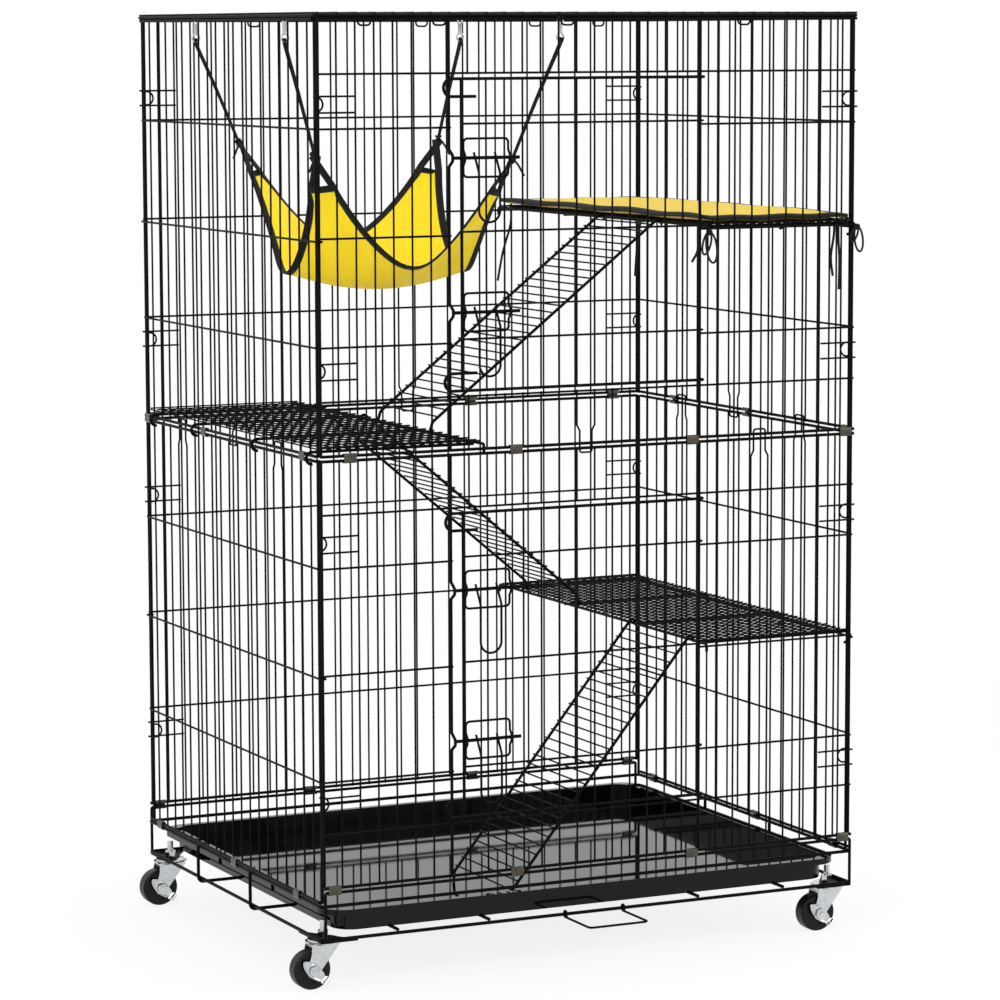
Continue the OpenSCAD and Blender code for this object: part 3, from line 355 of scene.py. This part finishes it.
by_slot = {"wire": wire_finish, "zinc": zinc_finish, "tray": tray_finish, "tyre": tyre_finish,
           "cloth": cloth_finish, "cord": cord_finish}
for part in frame["record"]["subparts"]:
    finish = clip_finish if part["node"].endswith("_clips") else by_slot[part["material_slot"]]
    nodes[part["node"]].data.materials.clear()
    nodes[part["node"]].data.materials.append(finish)


# Ties of the shelf mat, on the part's own routes, in millimetres

TIE_WIDTH = 3.4 * MM
tie_routes = {
    "mat_tie_front_right": [[373.3, -280, 955.8], [373.3, -280, 930], [374, -282, 900], [372, -284, 862]],
    "mat_tie_front_right_short": [[366.6, -280, 955.8], [366.6, -280, 935], [362, -280, 905], [364, -282, 880]],
    "mat_tie_front_left": [[164.4, -280, 957.5], [164.4, -280, 938], [160, -284, 918], [150, -288, 905]],
    "mat_tie_back_left": [[164.4, 280, 957.5], [164.4, 280, 930], [150, 276, 890], [140, 272, 850]],
    "mat_tie_back_right": [[373.3, 280, 955.8], [373.3, 280, 930], [366, 276, 900], [360, 272, 850]],
}


def hanging_tie(name, line):
    """A round tie along the points, as a curve of one open spline."""
    data = bpy.data.curves.new(name, "CURVE")
    data.dimensions = "3D"
    data.bevel_depth = TIE_WIDTH / 2
    data.bevel_resolution = 3
    data.use_fill_caps = True
    spline = data.splines.new("POLY")
    spline.points.add(len(line) - 1)
    for point, place in zip(spline.points, line):
        point.co = (*place, 1)
    data.materials.append(cord_finish)
    return put(name, data)


for name, route in tie_routes.items():
    line = [p * MM for p in smooth_route(route, 6)]
    tie = hanging_tie(name, line)
    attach(tie, "cage")
    if name == "mat_tie_front_right":
        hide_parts("mat_ties")


# Cross wires of the shelves, between the part's own, which are every second one

MESH_PITCH = 12.7 * MM
MESH_WIRE = 2 * MM
THIN_WIRE = 1.5 * MM
EDGE_WIRE = 4 * MM
# Where the shelves' inner edge wires lie, and how many spaces and cross wires a mesh has
SHELF_INNER = 160.4 * MM
MESH_ACROSS = 17
MESH_ALONG = 48


def rods(name, lines, width, material, sides=8):
    """Straight round wires as one mesh. Each line is a start and an end."""
    points, faces = [], []
    for a, b in lines:
        way = (Vector(b) - Vector(a)).normalized()
        out = way.orthogonal().normalized()
        other = way.cross(out)
        base = len(points)
        for end in (a, b):
            for k in range(sides):
                turn = 2 * math.pi * k / sides
                points.append(Vector(end) + width / 2 * (math.cos(turn) * out + math.sin(turn) * other))
        faces += [[base + k, base + (k + 1) % sides, base + sides + (k + 1) % sides, base + sides + k]
                  for k in range(sides)]
        faces += [[base + k for k in reversed(range(sides))], [base + sides + k for k in range(sides)]]
    return mesh_piece(name, points, faces, material, smooth=False)


for shelf, hand in (("lower_shelf", 1), ("middle_shelf", -1), ("upper_shelf", 1)):
    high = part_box(shelf)[1].z - MESH_WIRE / 2
    inner_end = hand * (SHELF_INNER - EDGE_WIRE / 2)
    outer_end = hand * (SHELF_INNER + MESH_ACROSS * MESH_PITCH + MESH_WIRE / 2)
    lines = []
    for k in range(1, MESH_ALONG - 2, 2):
        y = (k - (MESH_ALONG - 1) / 2) * MESH_PITCH
        lines.append([(inner_end, y, high), (outer_end, y, high)])
    wires = rods(f"{shelf}_cross_wires", lines, THIN_WIRE, wire_finish)
    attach(wires, "cage")


# Castors: pressed brake lever and pedal, axle nut and end, and the stem's thread

# Rings are in millimetres along the lever, across it and out of the castor's front
LEVER_TILT = math.radians(-42)
LEVER_HALF_LENGTH = 19.5
LEVER_HALF_WIDTH = 8.4
STEM_X = 368.01 * MM
STEM_Y = 270.05 * MM
THREAD_PITCH = 1.25 * MM
THREAD_RADIUS = 3.75 * MM
THREAD_WIDTH = 0.9 * MM


def lever_rings(sides=40):
    """A boat-shaped plate with a pressed edge."""
    rings = []
    for inset, out in ((0, 0), (0, 1.5), (0.5, 2), (1.5, 2), (2.4, 1.5)):
        ring = []
        for k in range(sides):
            a = 2 * math.pi * k / sides
            # The power draws the boat's two ends in
            across = math.copysign(abs(math.sin(a)) ** 1.2, math.sin(a))
            ring.append(((LEVER_HALF_LENGTH - inset) * math.cos(a), (LEVER_HALF_WIDTH - inset) * across, out))
        rings.append(ring)
    return rings


def pedal_rings():
    """The lever's pedal, bent outwards at its end: how far out, along and half across each ring lies."""
    rings = []
    for out, along, half in ((0.2, 15.4, 5.4), (3, 15.8, 5.6), (6, 16.6, 5.4), (8.6, 18, 4.8), (10, 19.4, 3.6)):
        rings.append([(along + a, half * b, out) for a, b in ((0, -1), (1.6, -1), (1.6, 1), (0, 1))])
    return rings


def prism_rings(sides, reach, low, high):
    """A prism with eased edges, such as a nut or a bolt's end."""
    turns = [2 * math.pi * k / sides for k in range(sides)]
    return [[(r * math.cos(a), r * math.sin(a), out) for a in turns]
            for r, out in ((reach * 0.93, low), (reach, low + 0.5), (reach, high - 0.6), (reach * 0.88, high))]


def castor_piece(name, axle, rings):
    """A zinc-plated piece on a castor's axle, turned with its lever."""
    c, s = math.cos(LEVER_TILT), math.sin(LEVER_TILT)
    placed = [[(axle[0] + (x * c - y * s) * MM, axle[1] - out * MM, axle[2] + (x * s + y * c) * MM)
               for x, y, out in ring] for ring in rings]
    return loft(name, placed, zinc_finish)


def stem_thread(name, x, y, steps=16):
    """The stem's thread, from above its nut to just under its end."""
    bottom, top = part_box("castor_nuts")[1].z + 0.5 * MM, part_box("castor_stems")[1].z - 0.8 * MM
    turns = (top - bottom) / THREAD_PITCH
    line = []
    for k in range(int(turns * steps) + 1):
        a = 2 * math.pi * k / steps
        line.append((x + THREAD_RADIUS * math.cos(a), y + THREAD_RADIUS * math.sin(a),
                     bottom + k * THREAD_PITCH / steps))
    return tube(name, line, THREAD_WIDTH, zinc_finish, sides=6)


for corner in ("front_left", "front_right", "back_left", "back_right"):
    low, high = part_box(f"{corner}_wheel")
    # The pedal stands 10 mm out of the lever
    axle = ((low.x + high.x) / 2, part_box(f"{corner}_brake")[0].y + 10 * MM, (low.z + high.z) / 2)
    lever = castor_piece(f"{corner}_brake_plate", axle, lever_rings())
    pedal = castor_piece(f"{corner}_brake_pedal", axle, pedal_rings())
    for piece in (lever, pedal):
        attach(piece, f"{corner}_brake")
    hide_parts(f"{corner}_brake")
    nut = castor_piece(f"{corner}_axle_nut", axle, prism_rings(6, 7.6, 2.2, 5.8))
    bolt = castor_piece(f"{corner}_axle_end", axle, prism_rings(20, 3.6, 5.6, 8))
    for piece in (nut, bolt):
        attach(piece, f"{corner}_castor")
    thread = stem_thread(f"{corner}_stem_thread", math.copysign(STEM_X, low.x), math.copysign(STEM_Y, low.y))
    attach(thread, "cage")


# Hammock: a square of cloth with hollow sides and cut corners, whose edge tapes run on to four knots

# Side of the square, the share by which the middles of its sides are drawn in, and its grid cells along a side
SPAN = 0.445
HOLLOW = 0.40
CELLS = 48
# Cells cut off each corner along either side, and the tape's free length from there to the knot
CUT = 8
STRAP = 0.047
# Front left and right, back left and right
knots = np.array([[[-0.288, -0.075, 1.044], [-0.008, -0.082, 1.034]],
                  [[-0.302, 0.152, 1.056], [-0.010, 0.146, 1.056]]])
# How the cloth falls: gravity, seconds a step, the share of its speed that it keeps, and the rounds in each step
# that bring its threads to their length
GRAVITY = 9.81
STEP_TIME = 0.003
KEPT_SPEED = 0.96
ROUNDS = 20
# The binding's section: metres in from the cloth's edge, and shares of its thickness
TAPE_WIDTH = 9 * MM
TAPE_THICK = 2.8 * MM
TAPE_PROFILE = [(-0.9 * MM, 0), (-0.4 * MM, 0.42), (0.8 * MM, 0.5), (TAPE_WIDTH - MM, 0.5), (TAPE_WIDTH, 0.3),
                (TAPE_WIDTH, -0.3), (TAPE_WIDTH - MM, -0.5), (0.8 * MM, -0.5), (-0.4 * MM, -0.42)]


def corner_sum(i, j):
    """How many cells a grid point is from the nearest corner, along the two edges."""
    return min(i, CELLS - i) + min(j, CELLS - j)


def flat_pattern():
    """Where each grid point lies on the cloth as it was cut. Rows run back, columns to the right."""
    line = np.arange(CELLS + 1) / CELLS - 0.5
    v, u = np.meshgrid(line, line, indexing="ij")
    return SPAN * np.stack([u * (1 - HOLLOW * (1 - 4 * v * v)), v * (1 - HOLLOW * (1 - 4 * u * u))], -1)


def threads(flat):
    """Pairs of grid points in groups that share no point, with their length on the flat cloth and stiffness."""
    n = CELLS + 1
    groups = []
    for dv, du, stiff in ((0, 1, 1), (1, 0, 1), (1, 1, 0.25), (1, -1, 0.25), (0, 3, 0.05), (3, 0, 0.05)):
        step = max(dv, abs(du))
        for phase in range(2 * step):
            a = np.array([(i, j) for i in range(n - dv) for j in range(max(0, -du), n - max(0, du))
                          if ((j if du and not dv else i) % (2 * step)) == phase
                          and min(corner_sum(i, j), corner_sum(i + dv, j + du)) >= CUT])
            i, j, k, m = a[:, 0], a[:, 1], a[:, 0] + dv, a[:, 1] + du
            groups.append((i, j, k, m, np.linalg.norm(flat[k, m] - flat[i, j], axis=1), stiff))
    return groups


def hang_cloth(flat, steps):
    """Lets the cloth fall between its four knots until it rests."""
    middle = knots.reshape(4, 3).mean(0)
    # It starts a little drawn together, as a shallow bowl under the knots
    bowl = (1 - (2 * np.abs(flat) / SPAN) ** 2).prod(-1)
    place = np.concatenate([middle[:2] + flat * (0.85, 0.7), (middle[2] - 0.05 - 0.1 * bowl)[..., None]], -1)
    groups = threads(flat)
    ends = []
    for row, i in ((0, 0), (1, CELLS)):
        for side, j in ((0, 0), (1, CELLS)):
            ends += [(i, abs(j - CUT), knots[row, side]), (abs(i - CUT), j, knots[row, side])]
    before = place.copy()
    for _ in range(steps):
        moved = place + (place - before) * KEPT_SPEED
        moved[..., 2] -= GRAVITY * STEP_TIME ** 2
        before, place = place, moved
        for _ in range(ROUNDS):
            for i, j, k, m, size, stiff in groups:
                gap = place[k, m] - place[i, j]
                dist = np.linalg.norm(gap, axis=1)
                shift = gap * (0.5 * stiff * (dist - size) / dist)[:, None]
                # The long weak threads only push, which keeps the cloth from folding up
                if stiff < 0.1:
                    shift[dist > size] = 0
                place[i, j] += shift
                place[k, m] -= shift
            for i, j, spot in ends:
                strap = place[i, j] - spot
                place[i, j] = spot + strap * min(1, STRAP / np.linalg.norm(strap))
            # The folded tape is stiff enough to hold each cut corner open
            for (i, j, _), (k, m, _) in zip(ends[::2], ends[1::2]):
                gap = place[k, m] - place[i, j]
                short = 1 - np.linalg.norm(flat[k, m] - flat[i, j]) / np.linalg.norm(gap)
                if short < 0:
                    place[i, j] += gap * 0.5 * short
                    place[k, m] -= gap * 0.5 * short
    return place


flat = flat_pattern()
hung = hang_cloth(flat, steps=300)


def hammock_cloth():
    """The hung cloth without its cut corners, smoothed once and given its thickness."""
    kept = {}
    points, uv = [], []
    for i in range(CELLS + 1):
        for j in range(CELLS + 1):
            if corner_sum(i, j) >= CUT:
                kept[i, j] = len(points)
                points.append(hung[i, j])
                uv.append(tuple(flat[i, j]))
    faces = []
    for i in range(CELLS):
        for j in range(CELLS):
            ring = [c for c in ((i, j), (i, j + 1), (i + 1, j + 1), (i + 1, j)) if c in kept]
            if len(ring) >= 3:
                faces.append([kept[c] for c in ring])
    piece = mesh_piece("hammock_cloth", points, faces, cloth_finish, uv=uv)
    smoothing = piece.modifiers.new("smooth", "SUBSURF")
    smoothing.levels = smoothing.render_levels = 1
    thick = piece.modifiers.new("cloth", "SOLIDIFY")
    thick.thickness = 1.6 * MM
    thick.offset = 0
    return piece


def tape(name, edge, inward, normal):
    """A binding folded over an edge: its line, the way into the cloth and the cloth's normal at each point."""
    rings, uv, run = [], [], 0
    for i, (e, a, b) in enumerate(zip(edge, inward, normal)):
        if i:
            run += float(np.linalg.norm(e - edge[i - 1]))
        rings.append([e + a * x + b * y * TAPE_THICK for x, y in TAPE_PROFILE])
        uv += [(run, x) for x, _ in TAPE_PROFILE]
    return loft(name, rings, tape_finish, smooth=True, uv=uv)


def edge_tape(name, cells, step, ends=None):
    """Binding along a run of grid points: the step of cells that leads inwards, and the knots it runs on to."""
    edge = [hung[c] for c in cells]
    normal, inward = [], []
    for k, (i, j) in enumerate(cells):
        along = edge[min(k + 1, len(edge) - 1)] - edge[max(k - 1, 0)]
        along /= np.linalg.norm(along)
        side = hung[i + step[0], j + step[1]] - edge[k]
        side -= along * (side @ along)
        inward.append(side / np.linalg.norm(side))
        normal.append(np.cross(along, inward[-1]))
    if ends is not None:
        shares = [0.03, 0.25, 0.5, 0.75, 0.92]
        more = len(shares)
        first = [ends[0] + (edge[0] - ends[0]) * t for t in shares]
        last = [ends[1] + (edge[-1] - ends[1]) * t for t in shares[::-1]]
        edge = first + edge + last
        normal = [normal[0]] * more + normal + [normal[-1]] * more
        inward = [inward[0]] * more + inward + [inward[-1]] * more
    return tape(name, edge, inward, normal)


hammock = hammock_cloth()
inner = range(CUT, CELLS - CUT + 1)
sides = {
    "front": ([(0, j) for j in inner], (2, 0), knots[0]),
    "back": ([(CELLS, j) for j in inner], (-2, 0), knots[1]),
    "left": ([(i, 0) for i in inner], (0, 2), knots[:, 0]),
    "right": ([(i, CELLS) for i in inner], (0, -2), knots[:, 1]),
    "front_left": ([(k, CUT - k) for k in range(CUT + 1)], (2, 2)),
    "front_right": ([(k, CELLS - CUT + k) for k in range(CUT + 1)], (2, -2)),
    "back_left": ([(CELLS - k, CUT - k) for k in range(CUT + 1)], (-2, 2)),
    "back_right": ([(CELLS - k, CELLS - CUT + k) for k in range(CUT + 1)], (-2, -2)),
}
bindings = [edge_tape(f"hammock_binding_{name}", *run) for name, run in sides.items()]


# Knots of the hammock, and the doubled cords from them to the hooks' eyes

HANGER_WIDTH = 3.2 * MM
HOOK_X = (-0.347, 0.043)
HOOK_Y = (-0.122, 0.188)
EYE_RADIUS = 5 * MM
EYE_WIRE = 2.6 * MM
# How far each strand stands from the middle of its pair at the eye
STRAND = np.array([0, 3.1 * MM, 0])


def knot(name, centre, turn, size):
    """A pulled-tight overhand knot: a trefoil of cord."""
    line = []
    for k in range(48):
        t = 2 * math.pi * k / 48
        x, y, z = math.sin(t) + 2 * math.sin(2 * t), math.cos(t) - 2 * math.cos(2 * t), -1.5 * math.sin(3 * t)
        line.append(np.array((x, z, y)) * size / 3.4)
    spin = np.array(Matrix.Rotation(turn, 3, "Z"))
    return tube(name, [spin @ p + centre for p in line], HANGER_WIDTH, cord_finish, closed=True)


def up(height):
    """A step straight up, of this many millimetres."""
    return np.array([0, 0, height * MM])


def hanger(name, centre, top):
    """A cord from a knot up through a hook's eye and back."""
    lead = (top - centre) / np.linalg.norm(top - centre)
    start = centre + lead * 3 * MM
    half_way = start + (top - start) * 0.5
    route = [start - STRAND * 0.5, half_way - STRAND * 0.75 - up(2), top - STRAND - up(8),
             top - STRAND * 0.9 - up(3.5), top - up(1.5), top + STRAND * 0.9 - up(3.5),
             top + STRAND - up(8), half_way + STRAND * 0.75 - up(2), start + STRAND * 0.5]
    return tube(name, smooth_route(route, 8), HANGER_WIDTH, cord_finish)


def hanger_end(name, centre, hand):
    """The short end of cord that leaves a knot."""
    sway = np.array([0.012 * hand, -0.006, -0.022])
    tail = [centre + [0, -3 * MM, 0], centre + sway * 0.4 + [0, -6 * MM, 0.001],
            centre + sway + [0, -5 * MM, 0]]
    return tube(name, smooth_route(tail, 6), 3.0 * MM, cord_finish)


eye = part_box("hammock_hooks")[0].z + EYE_RADIUS + EYE_WIRE / 2
cords = []
for row, depth in enumerate(("front", "back")):
    for side, hand in enumerate(("left", "right")):
        centre = knots[row, side]
        top = np.array([HOOK_X[side], HOOK_Y[row], eye])
        cords.append(knot(f"hammock_knot_{depth}_{hand}", centre, row * 0.9 + side * 0.7, 5.6 * MM))
        cords.append(hanger(f"hammock_cord_{depth}_{hand}", centre, top))
        cords.append(hanger_end(f"hammock_cord_end_{depth}_{hand}", centre, 2 * side - 1))

for piece, slot in [(hammock, "cloth")] + [(b, "cord") for b in bindings + cords]:
    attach(piece, "cage")
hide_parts("hammock")
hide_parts("hammock_cords")


# Shelf mat: a thin wadded pad with a bound edge, drawn in by its corner ties

mat_low, mat_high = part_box("shelf_mat")
mat_middle = (mat_low + mat_high) / 2
mat_half = (mat_high - mat_low) / 2
MAT_ROWS, MAT_COLUMNS = 72, 30
# How far in each line of its binding lies, on which face, and how far up and out it stands, in millimetres
MAT_TAPE = [(11, True, 0.4, 0), (8, True, 0.9, 0), (5, True, 1, 0), (2.5, True, 1, 0), (0.8, True, 0.9, 0.5),
            (0, True, -0.6, 1.3), (0, False, 0.6, 1.3), (0.8, False, 0.1, 0.5), (8, False, 0.1, 0),
            (11, False, 0.6, 0)]


def mat_point(u, v, top):
    """A point of the mat, with u across and v along it, both from -1 to 1."""
    # The sides are drawn in between the ties, and the long ones waver
    x = mat_middle.x + u * mat_half.x * (1 - 0.018 * (1 - v * v)) + 1.4 * MM * math.sin(8.3 * v + 0.7) * u ** 3
    y = mat_middle.y + v * mat_half.y * (1 - 0.012 * (1 - u * u))
    # Lifted over the ramp's hooks near the inner side, and waved along the edges
    lift = 2.6 * MM * max(0, 1 - (u + 1) * mat_half.x / 0.020)
    lift += 1.1 * MM * (1 + math.sin(10.7 * v + 1.9 * u)) * u ** 4 + 0.8 * MM * (1 + math.sin(9.1 * u)) * v ** 8
    if not top:
        return np.array([x, y, mat_low.z + lift])
    # Crowned, with shallow dents in the wadding and creases that run to the tied corners
    crown = max(0, (1 - u ** 4) * (1 - v ** 4)) ** 0.5
    dents = 0.9 * MM * math.sin(9.5 * v + 2.2 * u) * math.sin(4.1 * u + 1.3 * v + 0.6)
    creases = 1.4 * MM * math.sin(7 * math.atan2(1 - abs(v), 1 - abs(u))) * (abs(u) * abs(v)) ** 2
    return np.array([x, y, mat_low.z + lift + (4 * MM + 7 * MM * crown + (dents + creases) * crown)])


def mat_pad():
    """The mat's upper and lower faces, joined round its rim."""
    rows, columns = MAT_ROWS + 1, MAT_COLUMNS + 1
    points, uv = [], []
    for top in (True, False):
        for i in range(rows):
            for j in range(columns):
                p = mat_point(2 * j / MAT_COLUMNS - 1, 2 * i / MAT_ROWS - 1, top)
                points.append(p)
                uv.append((p[0], p[1]))
    n = rows * columns
    faces = []
    for i in range(MAT_ROWS):
        for j in range(MAT_COLUMNS):
            a = i * columns + j
            faces.append([a, a + 1, a + columns + 1, a + columns])
            faces.append([n + a, n + a + columns, n + a + columns + 1, n + a + 1])
    front = list(range(columns))
    right = [i * columns + columns - 1 for i in range(1, rows)]
    back = [(rows - 1) * columns + j for j in range(columns - 2, -1, -1)]
    left = [i * columns for i in range(rows - 2, 0, -1)]
    rim = front + right + back + left
    for a, b in zip(rim, rim[1:] + rim[:1]):
        faces.append([b, a, a + n, b + n])
    return mesh_piece("shelf_mat_pad", points, faces, mat_cloth_painted_darker, uv=uv)


def mat_binding(name, along_v, end):
    """The tape on one side of the mat, folded over its edge and following the pad above and below."""
    steps = 60 if along_v else 26
    reach = mat_half.x if along_v else mat_half.y
    out = np.array([end, 0, 0] if along_v else [0, end, 0], float)
    rings, uv, run = [], [], 0
    for k in range(steps + 1):
        t = 2 * k / steps - 1
        ring = []
        for inset, top, rise, stand in MAT_TAPE:
            e = end * (1 - inset * MM / reach)
            ring.append(mat_point(*((e, t) if along_v else (t, e)), top) + up(rise) + out * stand * MM)
        if k:
            run += float(np.linalg.norm(ring[5] - rings[-1][5]))
        rings.append(ring)
        uv += [(run, line[0] * MM) for line in MAT_TAPE]
    return loft(name, rings, tape_finish, smooth=True, uv=uv)


mat = mat_pad()
mat_tapes = [mat_binding("mat_binding_left", True, -1), mat_binding("mat_binding_right", True, 1),
             mat_binding("mat_binding_front", False, -1), mat_binding("mat_binding_back", False, 1)]
for piece in [mat] + mat_tapes:
    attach(piece, "cage")
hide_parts("shelf_mat")


# Bows of the two front ties, round the corners of the cage's front

def bow(name, tie, centre, loops):
    """A bow at the end of a tie. Each loop has a length and the angle it leans from hanging straight."""
    middle = (tie + centre) / 2 + [0, 0, 0.004]
    parts = [knot(f"{name}_knot", centre, 0.4, 3.6 * MM),
             tube(f"{name}_tie", smooth_route([tie, middle, centre], 6), 3 * MM, cord_finish)]
    for side, (length, lean) in zip(("left", "right"), loops):
        line = []
        for k in range(28):
            t = 2 * math.pi * k / 28
            down, across = length * (1 - math.cos(t)) / 2, length * 0.19 * math.sin(t)
            line.append(centre + [across * math.cos(lean) + down * math.sin(lean), -2.5 * MM * math.sin(t / 2),
                                  across * math.sin(lean) - down * math.cos(lean)])
        parts.append(tube(f"{name}_loop_{side}", line, 2.8 * MM, cord_finish, closed=True))
    return parts


bows = bow("mat_bow_left", np.array([0.1644, -0.283, 0.9575]), np.array([0.163, -0.3105, 0.944]),
           ((0.030, -0.30), (0.040, 0.12)))
bows += bow("mat_bow_right", np.array([0.3733, -0.283, 0.9575]), np.array([0.3835, -0.3105, 0.946]),
            ((0.022, -0.45), (0.033, 0.10)))
for piece in bows:
    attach(piece, "cage")


# Floor, sky and lamps

def seen_ray(tree):
    """1 for rays from the camera and for reflected and passed ones, which see a white surround."""
    path = add(tree, "LightPath").outputs
    seen = path["Is Camera Ray"]
    for ray in ("Is Glossy Ray", "Is Transmission Ray"):
        seen = add(tree, "Math", {0: seen, 1: path[ray]}, operation="MAXIMUM").outputs[0]
    return seen


def white_surround():
    """Plain white where it is seen or mirrored, and a little dimmer as light on the cage."""
    world = bpy.data.worlds.new("studio")
    bpy.context.scene.world = world
    world.use_nodes = True
    tree = world.node_tree
    tree.nodes.clear()
    soft = add(tree, "Background", {"Color": linear("#ffffff"), "Strength": 0.95}).outputs[0]
    white = add(tree, "Background", {"Color": linear("#ffffff"), "Strength": 1}).outputs[0]
    mixed = add(tree, "MixShader", {0: seen_ray(tree), 1: soft, 2: white}).outputs[0]
    add(tree, "OutputWorld", {"Surface": mixed})


def pale_floor():
    """A matt floor that keeps the shadow, and turns to plain white away from the cage."""
    material, tree, _ = new_material("pale_floor")
    tree.nodes.clear()
    matt = add(tree, "BsdfDiffuse", {"Color": linear("#f2f2f1")}).outputs[0]
    white = add(tree, "Emission", {"Color": linear("#ffffff"), "Strength": 1}).outputs[0]
    place = add(tree, "TexCoord").outputs["Object"]
    # White from 2.2 m out, and nearly so within 0.7 m
    far = add(tree, "VectorMath", {0: place}, operation="LENGTH").outputs["Value"]
    glow = add(tree, "MapRange", {"Value": far, "From Min": 0.7, "From Max": 2.2,
                                  "To Min": 0.86}).outputs["Result"]
    share = add(tree, "Math", {0: seen_ray(tree), 1: glow}, operation="MULTIPLY").outputs[0]
    mixed = add(tree, "MixShader", {0: share, 1: matt, 2: white}).outputs[0]
    add(tree, "OutputMaterial", {"Surface": mixed})
    corners = [(-30, -30, 0), (30, -30, 0), (30, 30, 0), (-30, 30, 0)]
    floor = mesh_piece("floor", corners, [[0, 1, 2, 3]], material, smooth=False)


def lamp(name, place, target, size, power):
    """A square lamp that faces a point, with its side in metres and its power in watts."""
    data = bpy.data.lights.new(name, "AREA")
    data.shape = "SQUARE"
    data.size = size
    data.energy = power
    way = Vector(target) - Vector(place)
    put(name, data).matrix_world = Matrix.Translation(place) @ way.to_track_quat("-Z", "Y").to_matrix().to_4x4()


white_surround()
pale_floor()
lamp("key", (-3.2, -3.6, 3.4), (0, 0, 0.6), 2.4, 105)
lamp("fill", (3.6, -3.0, 2.4), (0, 0, 0.6), 2.4, 60)
lamp("top", (0.2, 0.3, 4.2), (0, 0, 0.6), 2.6, 25)

view = bpy.context.scene.view_settings
view.view_transform = "Standard"
